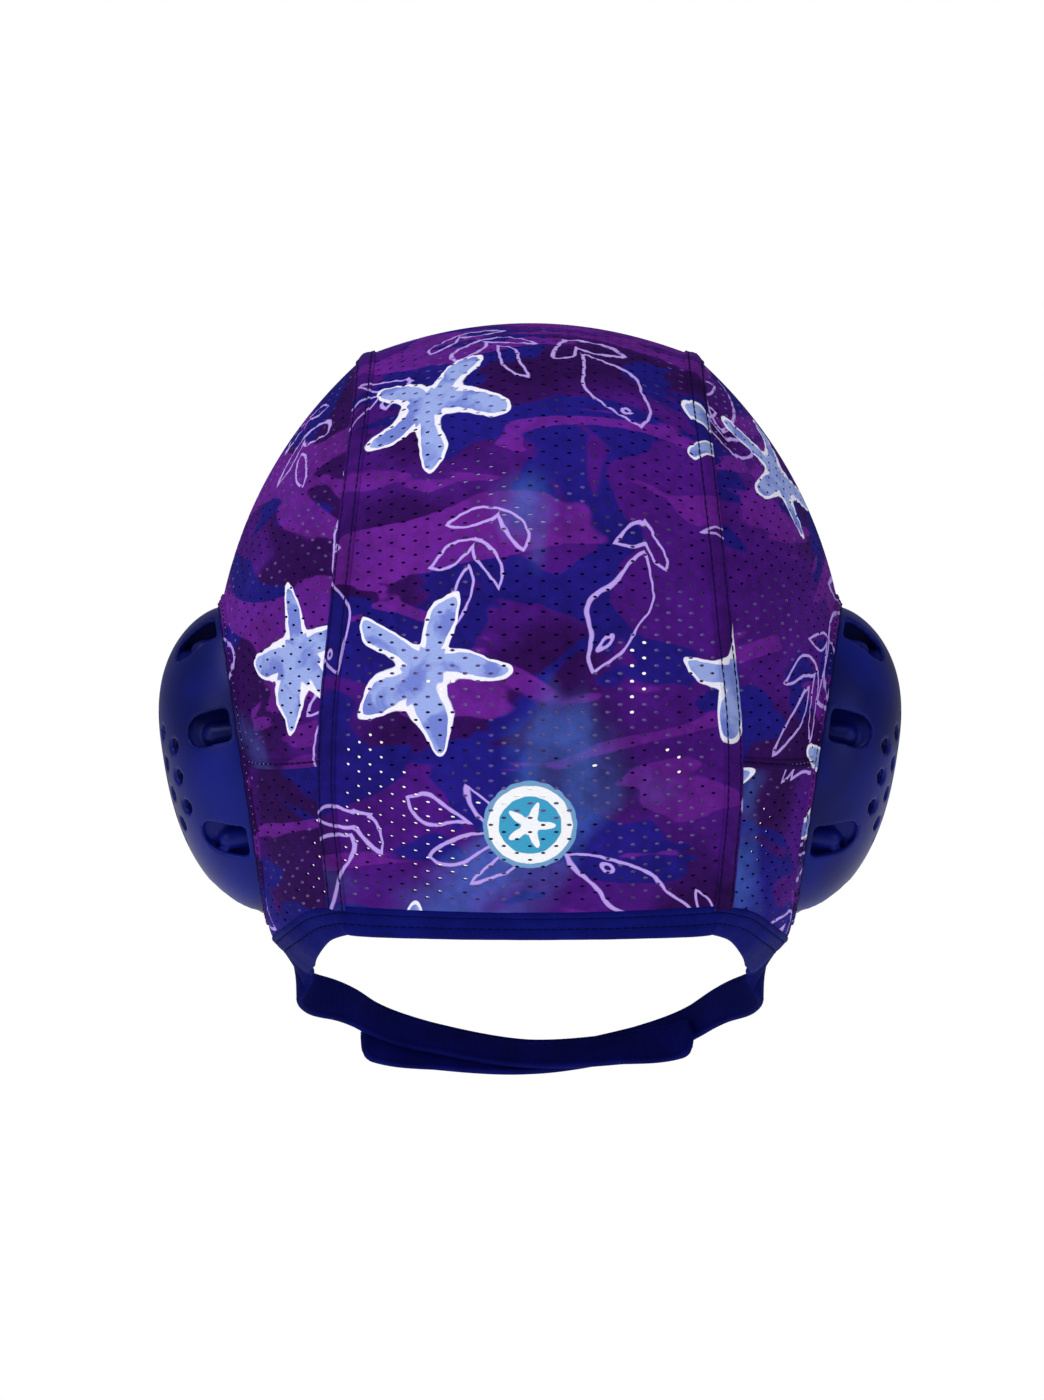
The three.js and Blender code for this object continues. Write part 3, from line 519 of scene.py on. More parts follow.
class GeometryTree(Tree):
    """A Geometry Nodes tree with named inputs."""

    def __init__(self, name: str, **sizes: float) -> None:
        """Makes the tree with a geometry input and one for each named size."""
        tree = bpy.data.node_groups.new(name, "GeometryNodeTree")
        super().__init__(tree)
        face = tree.interface
        face.new_socket("Geometry", in_out="INPUT", socket_type="NodeSocketGeometry")
        self.sizes = sizes
        self.sockets = {}
        for size in sizes:
            words = size.replace("_", " ").capitalize()
            self.sockets[size] = face.new_socket(words, in_out="INPUT", socket_type="NodeSocketFloat")
        face.new_socket("Geometry", in_out="OUTPUT", socket_type="NodeSocketGeometry")
        self.given = tree.nodes.new("NodeGroupInput")
        self.result = tree.nodes.new("NodeGroupOutput")

    def size(self, name: str) -> Socket:
        """The socket that gives a named size."""
        return self.given.outputs[name.replace("_", " ").capitalize()]

    def attribute(self, name: str, kind: str = "FLOAT_VECTOR") -> Node:
        """A named attribute of the mesh."""
        return self.add("GeometryNodeInputNamedAttribute", name, data_type=kind)

    def stored(
        self, mesh: object, where: object, name: str, value: object, kind: str, domain: str
    ) -> Node:
        """The mesh with a named attribute on its chosen elements."""
        store = "GeometryNodeStoreNamedAttribute"
        return self.add(store, mesh, where, name, value, data_type=kind, domain=domain)

    def pushed(self, mesh: object, where: object, distance: object, single: bool) -> Node:
        """The mesh with its chosen faces extruded, one by one or together."""
        return self.add("GeometryNodeExtrudeMesh", mesh, where, None, distance, single, mode="FACES")

    def without(self, mesh: object, faces: object) -> Node:
        """The mesh with some of its faces cut away."""
        return self.add("GeometryNodeDeleteGeometry", mesh, faces, domain="FACE", mode="ALL")

    def finish(self, mesh: object, *dresses: tuple[Material, object]) -> None:
        """Ends the tree with real geometry in its materials, each with where it goes."""
        mesh = self.add("GeometryNodeRealizeInstances", mesh)
        for material, where in dresses:
            mesh = self.add("GeometryNodeSetMaterial", mesh, where, material)
        self.feed(self.result.inputs[0], mesh)

    def run_on(self, piece: Object) -> Object:
        """Runs the tree on a piece with its sizes and works the result into its mesh."""
        modifier = piece.modifiers.new(self.tree.name, "NODES")
        modifier.node_group = self.tree
        for name, value in self.sizes.items():
            modifier[self.sockets[name].identifier] = value
        return baked(piece)


# Holes


@dataclass(frozen=True)
class HoleLattice:
    """The knit's staggered holes: upright columns, each half a step off its neighbours."""

    column: float = 3.9 * MM
    pitch: float = 4.6 * MM
    margin: float = 4.0 * MM

    # A cell's corners and the middles of its sides, in sixths of a column and quarters of a pitch
    CORNERS = (
        (4, 0), (3, 1), (2, 2), (0, 2), (-2, 2), (-3, 1),
        (-4, 0), (-3, -1), (-2, -2), (0, -2), (2, -2), (3, -1),
    )

    @property
    def step(self) -> Array:
        """The size of one grid step."""
        return np.array([self.column / 6, self.pitch / 4])

    def cells(self, low: Array, high: Array) -> tuple[Array, Array]:
        """The cells that cover a flat area.

        Args:
            low: The area's lowest corner.
            high: Its highest corner.

        Returns:
            The cells' middles and their corners, both in grid steps.
        """
        size = np.array([self.column, self.pitch])
        first = np.floor(low / size).astype(int) - 1
        last = np.ceil(high / size).astype(int) + 1
        columns, rows = range(first[0], last[0] + 1), range(first[1], last[1] + 1)
        centres = np.array([(6 * i, 4 * j + 2 * (i % 2)) for i in columns for j in rows])
        return centres, centres[:, None, :] + np.array(self.CORNERS)[None]

    def whole(self, shift: tuple[float, float]) -> Array:
        """A shift brought to whole repeats of the lattice."""
        repeat = np.array([2 * self.column, self.pitch])
        return np.round(np.array(shift) / repeat) * repeat


# Where the worn cloth is stretched until its holes open: a place on the cap and the patch's reach, in mm
OPEN_PATCHES = (
    (-42, -81, -145, 34),
    (-18, -75, -29, 30),
    (24, -70, -25, 26),
    (72, -50, -156, 24),
)


@dataclass
class Perforation:
    """The holes of a stretched knit: right through in some patches, elsewhere hollows in a material of
    painted shade.
    """

    cloth: Material
    inside: Material
    # The material of painted shade for the hollows' floors and walls
    hollow: Material
    open_from: float = 0.66
    patch_lift: float = 0.38
    noise_range: tuple[float, float] = (0.38, 0.66)
    size_range: tuple[float, float] = (0.85, 1.08)

    def openness(self, t: GeometryTree, noise: object) -> Node:
        """How far the cloth is stretched at a cell, from the noise and the named patches."""
        lift = 0.0
        for *place, reach in OPEN_PATCHES:
            distance = t.vector("DISTANCE", t.attribute("cell"), [v * MM for v in place])
            lift = t.number("MAXIMUM", lift, t.ranged(distance, 0.0, reach * MM, self.patch_lift, 0.0))
        return t.number("ADD", noise, lift)

    def inset(self, t: GeometryTree, where: object, noise: object) -> tuple[Node, Socket]:
        """Draws a rounded hole's outline in each chosen cell.

        Args:
            t: The tree.
            where: The cells that get one.
            noise: The noise that varies its size.

        Returns:
            The mesh and the faces inside the outlines.
        """
        cells = t.pushed(t.given.outputs["Geometry"], where, 0.0, True)
        top = cells.outputs["Top"]
        centre, wale = t.attribute("cell"), t.attribute("wale")
        away = t.vector("SUBTRACT", t.add("GeometryNodeInputPosition"), centre)
        size = t.ranged(noise, *self.noise_range, *self.size_range)
        radius = t.number("MULTIPLY", t.size("hole_radius"), size)
        radial = t.vector("SCALE", t.vector("NORMALIZE", away), radius)
        wider = t.number("SUBTRACT", t.size("hole_stretch"), 1.0)
        extra = t.number("MULTIPLY", t.vector("DOT_PRODUCT", radial, wale), wider)
        edge = t.vector("ADD", t.vector("ADD", centre, radial), t.vector("SCALE", wale, extra))
        dip = t.vector("SCALE", t.add("GeometryNodeInputNormal"), t.size("hole_dip"))
        # The flat place of a hole's edge moves in with the edge
        share = t.number("DIVIDE", radius, t.vector("LENGTH", away))
        cell_flat = t.attribute("cell_flat")
        step = t.vector("SCALE", t.vector("SUBTRACT", t.attribute("flat"), cell_flat), share)
        marked = t.stored(cells, top, "flat", t.vector("ADD", cell_flat, step), "FLOAT_VECTOR", "POINT")
        return t.add("GeometryNodeSetPosition", marked, top, t.vector("SUBTRACT", edge, dip)), top

    def build(self) -> GeometryTree:
        """Pierces a cloth and gives it its thickness.

        The cloth has on its faces pierced, cell, cell_flat and wale, and on its points flat.
        """
        t = GeometryTree(
            "perforate", hole_radius=0.4 * MM, hole_stretch=1.9, hole_dip=0.3 * MM, hollow_depth=0.5 * MM,
            thickness=0.95 * MM, patches_per_metre=38.0,
        )
        noise = t.noise(t.attribute("cell"), t.size("patches_per_metre"))
        pierced = t.attribute("pierced", "BOOLEAN")
        is_open = t.number("GREATER_THAN", self.openness(t, noise), self.open_from)

        # The outer face: every cell has its outline, open ones lose their middle, the others sink it
        drawn, top = self.inset(t, pierced, noise)
        holed = t.without(drawn, t.number("MULTIPLY", top, is_open))
        sunk = t.pushed(holed, top, t.number("MULTIPLY", t.size("hollow_depth"), -1.0), True)
        # The hollows' floors and walls get painted shade
        hollows = t.number("MAXIMUM", sunk.outputs["Top"], sunk.outputs["Side"])
        outer = t.stored(sunk, None, "hollow", hollows, "BOOLEAN", "FACE")

        # The inner face and the edges: only the open cells show in it
        drawn, top = self.inset(t, t.number("MULTIPLY", pierced, is_open), noise)
        thick = t.pushed(t.without(drawn, top), None, t.number("MULTIPLY", t.size("thickness"), -1.0), False)
        inner = t.stored(thick, None, "inner", thick.outputs["Top"], "BOOLEAN", "FACE")
        joined = t.add("GeometryNodeJoinGeometry", t.add("GeometryNodeFlipFaces", inner))
        t.feed(joined.inputs[0], outer)
        merged = t.add("GeometryNodeMergeByDistance", joined, None, 0.002 * MM)
        inner, hollow = t.attribute("inner", "BOOLEAN"), t.attribute("hollow", "BOOLEAN")
        t.finish(merged, (self.cloth, None), (self.inside, inner), (self.hollow, hollow))
        return t


# Stitches


def stitch_tree(thread: Material, length: float, width: float, pitch: float) -> GeometryTree:
    """Lays rounded stitches along lines whose points have facing, the way out of the cloth."""
    t = GeometryTree("stitches", pitch=pitch, stitch_length=length, stitch_width=width)
    lines = t.add("GeometryNodeMeshToCurve", t.given.outputs["Geometry"])
    spaced = t.add("GeometryNodeResampleCurve", lines, None, t.size("pitch"), mode="LENGTH")
    grain = t.add("GeometryNodeSetShadeSmooth", t.add("GeometryNodeMeshUVSphere", 6, 4, 0.5))
    turn = "FunctionNodeAlignRotationToVector"
    along = t.add(turn, None, None, t.add("GeometryNodeInputTangent"), axis="X")
    facing = t.add(turn, along, None, t.attribute("facing"), axis="Z", pivot_axis="X")
    wide = t.size("stitch_width")
    scale = t.add("ShaderNodeCombineXYZ", t.size("stitch_length"), wide, wide)
    laid = t.add("GeometryNodeInstanceOnPoints", spaced, None, grain, None, None, facing, scale)
    t.finish(laid, (thread, None))
    return t


def stitched(name: str, lines: Sequence[tuple[Array, Array]], tree: GeometryTree) -> Object:
    """Stitches along lines.

    Args:
        name: The piece's name.
        lines: Pairs of a line's points and the directions out of the cloth.
        tree: The tree that lays the stitches.

    Returns:
        The stitches as one piece.
    """
    points = np.vstack([line for line, _ in lines])
    facing = np.vstack([out for _, out in lines])
    edges, start = [], 0
    for line, _ in lines:
        edges += [(start + i, start + i + 1) for i in range(len(line) - 1)]
        start += len(line)
    mesh = bpy.data.meshes.new(name)
    mesh.from_pydata(points.tolist(), edges, [])
    note(mesh, "facing", "POINT", facing)
    return tree.run_on(in_scene(name, mesh))


# Finishes


def linear(code: str) -> tuple[float, float, float, float]:
    """A screen colour such as 1a1a8a as linear light."""
    parts = [int(code[i : i + 2], 16) / 255 for i in (0, 2, 4)]
    return tuple(p / 12.92 if p <= 0.04045 else ((p + 0.055) / 1.055) ** 2.4 for p in parts) + (1.0,)


class Shader(Tree):
    """A surface material that is built one node at a time."""

    def __init__(self, name: str) -> None:
        """Makes an empty material with its principled shader."""
        self.material = bpy.data.materials.new(name)
        self.material.use_nodes = True
        super().__init__(self.material.node_tree)
        self.surface = self.tree.nodes["Principled BSDF"]

    def between(self, value: object, low: float, high: float) -> Node:
        """A soft step from 0 at low to 1 at high."""
        return self.add("ShaderNodeMapRange", value, low, high, 0.0, 1.0, interpolation_type="SMOOTHSTEP")

    def mixed(self, share: object, below: object, above: object) -> Node:
        """One colour laid over another."""
        return self.add("ShaderNodeMix", share, below, above, data_type="RGBA")

    def parts(self, place: object) -> tuple[Socket, Socket]:
        """A place's first and second coordinate."""
        node = self.add("ShaderNodeSeparateXYZ", place)
        return node.outputs[0], node.outputs[1]

    def span(self, across: object, up: object) -> Node:
        """The length of two sides at a right angle."""
        squares = self.number("MULTIPLY_ADD", across, across, self.number("MULTIPLY", up, up))
        return self.number("SQRT", squares)

    def places(self, name: str = "") -> Node:
        """Object coordinates, or a UV map by its name, both in millimetres."""
        if name:
            source = self.add("ShaderNodeUVMap", uv_map=name)
        else:
            source = self.add("ShaderNodeTexCoord").outputs["Object"]
        return self.vector("SCALE", source, 1 / MM)

    def bump(self, height: object, distance: float, strength: float) -> None:
        """Gives the surface a relief, its distance in metres."""
        self.feed(self.surface.inputs["Normal"], self.add("ShaderNodeBump", strength, distance, None, height))

    def dress(self, colour: object, roughness: object, specular: object = None, glow: object = None) -> None:
        """Sets the surface's colour, roughness and shine, and how much of its colour it gives off."""
        self.feed(self.surface.inputs["Base Color"], colour)
        self.feed(self.surface.inputs["Roughness"], roughness)
        self.feed(self.surface.inputs["Specular IOR Level"], specular)
        if glow is not None:
            self.feed(self.surface.inputs["Emission Color"], colour)
            self.feed(self.surface.inputs["Emission Strength"], glow)


@dataclass(frozen=True)
class KnitRelief:
    """The loops of a fine knit, in mm."""

    course: float = 0.55
    wale: float = 0.5
    wale_share: float = 0.6

    def height(self, s: Shader, place: object) -> Node:
        """The relief of the loops at a flat place in millimetres."""
        across, up = s.parts(place)
        rows = s.number("SINE", s.number("MULTIPLY", up, TURN / self.course))
        loops = s.number("SINE", s.number("MULTIPLY", across, TURN / self.wale))
        return s.number("ADD", rows, s.number("MULTIPLY", loops, self.wale_share))


@dataclass(frozen=True)
class BrushedPatches:
    """One colour that is brushed over the print's ground where its noise is high."""

    colour: str
    stretch: tuple[float, float]
    shift: tuple[float, float]
    noise: tuple[float, float, float]
    edge: tuple[float, float]
    strength: float = 1.0

    def place(self, s: Shader, flat: object) -> Node:
        """The flat place, stretched and shifted for these patches."""
        return s.vector("MULTIPLY_ADD", flat, (*self.stretch, 1.0), (*self.shift, 0.0))

    def over(self, s: Shader, flat: object, colour: object) -> Node:
        """The patches laid over a colour."""
        share = s.between(s.noise(self.place(s, flat), *self.noise), *self.edge)
        return s.mixed(s.number("MULTIPLY", share, self.strength), colour, linear(self.colour))


@dataclass(frozen=True)
class Motif:
    """A drawing's repeat, where the repeat starts, the drawing's reach and its line, all in mm."""

    cell: tuple[float, float]
    shift: tuple[float, float]
    reach: float
    line: float


PLUM = BrushedPatches("2c0a4e", (0.8, 1.2), (11.0, 3.0), (0.012, 1.5, 0.5), (0.46, 0.56))
NIGHT = BrushedPatches("191778", (0.8, 1.3), (-240.0, 87.0), (0.024, 2.0, 0.9), (0.53, 0.55), 0.92)
VIOLET = BrushedPatches("67208f", (0.6, 1.7), (91.0, -310.0), (0.022, 2.0, 1.2), (0.565, 0.585), 0.8)
WASH = BrushedPatches("3f5cb2", (1.0, 1.0), (400.0, 120.0), (0.009, 3.0, 0.8), (0.56, 0.68), 0.75)
FISH = Motif((94.0, 84.0), (17.0, 9.0), 21.0, 0.9)
FROND = Motif((98.0, 90.0), (61.0, 52.0), 23.0, 0.8)
SEA_STAR = Motif((104.0, 96.0), (-23.0, 31.0), 27.0, 1.3)
# Where a frond's leaves start, how they are turned and how long they are
LEAVES = ((0.55, 0.0, 0.45), (0.1, 0.8, 0.4), (0.1, -0.8, 0.4), (-0.45, 0.9, 0.34), (-0.45, -0.9, 0.34))
# The badge's rings from the outside in, each with its radius in mm, and the star on them
BADGE_RINGS = ((14.2, "6f9cc6"), (12.7, "f2f3f7"), (9.4, "3e9cc4"))
BADGE_STAR = 8.2
BADGE_EDGE = 0.3
# How high the badge's middle lies on the cap, in metres
BADGE_HEIGHT = -148.8 * MM
# The middle of what a noise gives
HALVES = (0.5, 0.5, 0.5)


@dataclass(frozen=True)
class PrintedCloth:
    """A printed knit: brushed patches of purple and blue with drawn sea life over them."""

    name: str = "printed_cloth"
    # How far the colour is scaled down as painted shade: 1 for none, less on the sewn folds
    depth: float = 1.0
    ground: str = "451478"
    line: str = "b79be8"
    fill: str = "97a8e2"
    fill_shade: str = "6f7ecb"
    bright: str = "eceafb"
    badge: tuple[float, float] = (0.0, 0.0)
    wobble: float = 12.0
    jitter: tuple[float, float] = (14.0, 16.0)
    knit: KnitRelief = field(default_factory=KnitRelief)

    def ground_colour(self, s: Shader, place: object) -> Node:
        """The brushed patches."""
        colour = linear(self.ground)
        for patches in (PLUM, NIGHT, VIOLET, WASH):
            colour = patches.over(s, place, colour)
        grain = s.between(s.noise(place, 0.22, 5.0, 0.6), 0.3, 0.75)
        cloud = s.between(s.noise(WASH.place(s, place), 0.03, 3.0, 0.4), 0.3, 0.7)
        shade = s.number("MULTIPLY_ADD", grain, 0.3, s.number("MULTIPLY_ADD", cloud, 0.3, 0.66))
        return s.vector("SCALE", colour, shade)

    def cell(self, s: Shader, place: object, motif: Motif) -> tuple[Socket, Socket]:
        """A drawing's own place inside its cell of a wide lattice, moved and turned by chance.

        Args:
            s: The shader.
            place: The flat place in millimetres.
            motif: The drawing.

        Returns:
            The place from the drawing's middle, across and up.
        """
        width, height = motif.cell
        share = s.vector("DIVIDE", s.vector("ADD", place, (*motif.shift, 0.0)), (width, height, 1.0))
        index = s.vector("FLOOR", share)
        chance = s.add("ShaderNodeTexWhiteNoise", s.vector("ADD", index, HALVES), noise_dimensions="3D")
        local = s.vector("MULTIPLY", s.vector("SUBTRACT", share, index), (width, height, 0.0))
        middle = s.vector("SUBTRACT", local, (width / 2, height / 2, 0.0))
        random = s.vector("SUBTRACT", chance.outputs["Color"], HALVES)
        jitter = s.vector("MULTIPLY", random, (*self.jitter, 0.0))
        angle = s.number("MULTIPLY", chance.outputs["Value"], TURN)
        moved = s.vector("ADD", middle, jitter)
        return s.parts(s.add("ShaderNodeVectorRotate", moved, None, angle, rotation_type="Z_AXIS"))

    def leaf(self, s: Shader, across: object, up: object, half_length: float, half_width: float) -> Node:
        """The distance from the outline of a pointed oval along the first axis."""
        sink = (half_length**2 - half_width**2) / (2 * half_width)
        down = s.number("ADD", s.number("ABSOLUTE", up), sink)
        return s.number("SUBTRACT", s.span(across, down), sink + half_width)

    def turned(
        self, s: Shader, across: object, up: object, start: tuple[float, float], angle: float
    ) -> tuple[Node, Node]:
        """A place seen from another point and turned by an angle."""
        c, d = math.cos(angle), math.sin(angle)
        x = s.number("SUBTRACT", across, start[0])
        y = s.number("SUBTRACT", up, start[1])
        new_x = s.number("MULTIPLY_ADD", x, c, s.number("MULTIPLY", y, d))
        new_y = s.number("MULTIPLY_ADD", y, c, s.number("MULTIPLY", x, -d))
        return new_x, new_y

    def star(self, s: Shader, across: object, up: object, reach: float) -> Node:
        """The distance from the outline of a five-armed sea star."""
        radius = s.span(across, up)
        angle = s.number("ARCTAN2", up, across)
        five = s.number("MULTIPLY", angle, 5.0)
        ten = s.number("COSINE", s.number("MULTIPLY", angle, 10.0))
        tips = s.number("MULTIPLY_ADD", ten, 0.08 * reach, 0.56 * reach)
        rim = s.number("MULTIPLY_ADD", s.number("COSINE", five), 0.29 * reach, tips)
        steep = s.number("MULTIPLY", s.number("SINE", five), 1.45 * reach)
        slope = s.number("DIVIDE", steep, s.number("MAXIMUM", radius, 0.42 * reach))
        return s.number("DIVIDE", s.number("SUBTRACT", radius, rim), s.span(slope, 1.0))

    def fish(self, s: Shader, across: object, up: object, half_length: float) -> Node:
        """The distance from the outline of a fish with a forked tail."""
        result = self.leaf(s, across, up, half_length, 0.4 * half_length)
        for sign in (1, -1):
            start = (-1.15 * half_length, sign * 0.22 * half_length)
            x, y = self.turned(s, across, up, start, sign * -2.25)
            fin = self.leaf(s, x, y, 0.42 * half_length, 0.15 * half_length)
            result = s.number("SMOOTH_MIN", result, fin, 1.5)
        eye_x = s.number("SUBTRACT", across, 0.6 * half_length)
        eye_y = s.number("SUBTRACT", up, 0.1 * half_length)
        eye = s.number("SUBTRACT", s.span(eye_x, eye_y), 1.3)
        return s.number("MAXIMUM", result, s.number("MULTIPLY", eye, -1.0))

    def frond(self, s: Shader, across: object, up: object, half_length: float) -> Node:
        """The distance from the outline of a spray of five leaves."""
        result = None
        for place, angle, size in LEAVES:
            reach = size * half_length
            start = (place * half_length + reach * math.cos(angle) * 0.9, reach * math.sin(angle) * 0.9)
            x, y = self.turned(s, across, up, start, angle)
            leaf = self.leaf(s, x, y, reach, 0.14 * half_length)
            result = leaf if result is None else s.number("MINIMUM", result, leaf)
        return result

    def outline(self, s: Shader, distance: object, width: float) -> Node:
        """A drawn line where a distance is near nothing."""
        return s.between(s.number("ABSOLUTE", distance), width / 2 + 0.25, width / 2 - 0.1)

    def drawings(self, s: Shader, place: object, colour: object) -> Node:
        """Lays the drawings over the ground."""
        chance = s.vector("SUBTRACT", s.noise(place, 0.055, 0.0).outputs["Color"], HALVES)
        hand = s.vector("ADD", place, s.vector("MULTIPLY", chance, (self.wobble, self.wobble, 0.0)))
        for draw, motif in ((self.fish, FISH), (self.frond, FROND)):
            shape = draw(s, *self.cell(s, hand, motif), motif.reach)
            colour = s.mixed(self.outline(s, shape, motif.line), colour, linear(self.line))
        star = self.star(s, *self.cell(s, hand, SEA_STAR), SEA_STAR.reach)
        mottle = s.between(s.noise(place, 0.09, 3.0, 0.5), 0.45, 0.62)
        tint = s.mixed(mottle, linear(self.fill), linear(self.fill_shade))
        colour = s.mixed(s.between(star, 0.3, -0.3), colour, tint)
        return s.mixed(self.outline(s, star, SEA_STAR.line), colour, linear(self.bright))

    def roundel(self, s: Shader, place: object, colour: object) -> Node:
        """Lays a plain ringed disc over the print."""
        away = s.vector("SUBTRACT", place, (*self.badge, 0.0))
        distance = s.vector("LENGTH", away)
        for radius, shade in BADGE_RINGS:
            colour = s.mixed(s.between(distance, radius, radius - BADGE_EDGE), colour, linear(shade))
        star = s.between(self.star(s, *s.parts(away), BADGE_STAR), 0.2, -0.1)
        return s.mixed(star, colour, linear("f2f3f7"))

    def material(self) -> Material:
        """Builds the material."""
        s = Shader(self.name)
        place = s.places("flat")
        colour = self.drawings(s, place, self.ground_colour(s, place))
        # The colour is scaled by depth, painted shade where it is below 1
        s.dress(s.vector("SCALE", self.roundel(s, place, colour), self.depth), 0.66, 0.03)
        drape = s.noise(s.vector("MULTIPLY", place, (1.0, 0.4, 1.0)), 0.045, 2.0, 0.5)
        loops = self.knit.height(s, place)
        s.bump(s.number("MULTIPLY_ADD", loops, 0.05, s.number("MULTIPLY", drape, 2.6)), 1 * MM, 0.7)
        return s.material


@dataclass(frozen=True)
class ClothInside:
    """The unprinted side of the knit: its holes, a trace of the dye, and a painted glow for the light that
    comes through.
    """

    lattice: HoleLattice
    colour: str = "cdc4ea"
    hole: str = "57478c"
    hole_size: tuple[float, float] = (0.85, 0.45)
    trace: str = "9c90d0"
    # Painted light: the inside gives off its own colour for the light that comes through the knit
    glow: float = 0.14
    knit: KnitRelief = field(default_factory=KnitRelief)

    def holes(self, s: Shader, place: object) -> Node:
        """1 where the knit has a hole, 0 elsewhere."""
        column, pitch = self.lattice.column / MM, self.lattice.pitch / MM
        x, y = s.parts(place)
        across = s.number("DIVIDE", x, column)
        nearest = s.number("ROUND", across)
        stagger = s.number("MULTIPLY", s.number("FLOORED_MODULO", nearest, 2.0), 0.5)
        up = s.number("SUBTRACT", s.number("DIVIDE", y, pitch), stagger)
        above = s.number("SUBTRACT", up, s.number("ROUND", up))
        beside = s.number("MULTIPLY", s.number("SUBTRACT", across, nearest), column / self.hole_size[0])
        return s.between(s.span(beside, s.number("MULTIPLY", above, pitch / self.hole_size[1])), 1.15, 0.85)

    def material(self) -> Material:
        """Builds the material."""
        s = Shader("cloth_inside")
        place = s.places("flat")
        trace = s.between(s.noise(place, 0.03, 2.0, 0.8), 0.4, 0.6)
        colour = s.mixed(trace, linear(self.colour), linear(self.trace))
        # The glow is painted light; the cloth is no lamp
        s.dress(s.mixed(self.holes(s, place), colour, linear(self.hole)), 0.8, glow=self.glow)
        s.bump(self.knit.height(s, place), 0.06 * MM, 0.5)
        return s.material


@dataclass(frozen=True)
class HoleShade:
    """Painted shade at the bottom of a hole that isn't stretched open, and painted light in patches where it
    nearly is.
    """

    # Painted shade in the hollows, and the painted light of a hole that seems to let light through
    colour: str = "170846"
    painted_light: str = "8a7cb6"

    def material(self) -> Material:
        """Builds the material."""
        s = Shader("hole_shade")
        # Painted light in noise patches, painted shade elsewhere
        painted_light_share = s.between(s.noise(s.places(), 0.038), 0.46, 0.6)
        s.dress(s.mixed(painted_light_share, linear(self.colour), linear(self.painted_light)), 0.9, 0.0)
        return s.material


@dataclass(frozen=True)
class MouldedPlastic:
    """A half-gloss moulded plastic with a faint flow in its colour."""

    colour: str = "0c1670"
    deep: str = "080f4e"

    def material(self) -> Material:
        """Builds the material."""
        s = Shader("guard_plastic")
        place = s.places()
        flow = s.between(s.noise(place, 0.03, 2.0, 0.6), 0.35, 0.7)
        wear = s.number("MULTIPLY_ADD", s.noise(place, 0.6, 5.0), 0.12, 0.3)
        s.dress(s.mixed(flow, linear(self.colour), linear(self.deep)), wear, 0.1)
        s.bump(s.noise(place, 1.4, 3.0), 0.03 * MM, 0.5)
        return s.material


@dataclass(frozen=True)
class WovenTape:
    """Elastic tape or webbing: fine ribs across it, a thread grain along it, and painted sheen on the rib
    crests and in patches.

    The UV map flat gives the distance along the tape and across it.
    """

    name: str
    colour: str
    # The lighter colour of the painted sheen
    lit: str
    rib: float = 0.9
    warp: float = 0.5

    def material(self) -> Material:
        """Builds the material."""
        s = Shader(self.name)
        place = s.places("flat")
        along, across = s.parts(place)
        ribs = s.number("SINE", s.number("MULTIPLY", along, TURN / self.rib))
        warp = s.number("SINE", s.number("MULTIPLY", across, TURN / self.warp))
        patch = s.between(s.noise(place, 0.08, 3.0, 0.4), 0.35, 0.7)
        # Painted sheen: the lit colour on the rib crests and in noise patches
        painted_sheen = s.number("MULTIPLY_ADD", s.between(ribs, -0.2, 1.0), 0.18, s.number("MULTIPLY", patch, 0.6))
        s.dress(s.mixed(painted_sheen, linear(self.colour), linear(self.lit)), 0.7, 0.03)
        s.bump(s.number("MULTIPLY_ADD", warp, 0.5, ribs), 0.06 * MM, 0.5)
        return s.material


@dataclass(frozen=True)
class SewingThread:
    """A twisted thread."""

    name: str
    colour: str

    def material(self) -> Material:
        """Builds the material."""
        s = Shader(self.name)
        twist = s.noise(s.places(), 3.0, 2.0)
        dark = tuple(0.45 * part for part in linear(self.colour)[:3]) + (1.0,)
        s.dress(s.mixed(s.between(twist, 0.35, 0.6), linear(self.colour), dark), 0.7, 0.03)
        s.bump(twist, 0.05 * MM, 0.5)
        return s.material


# Cloth


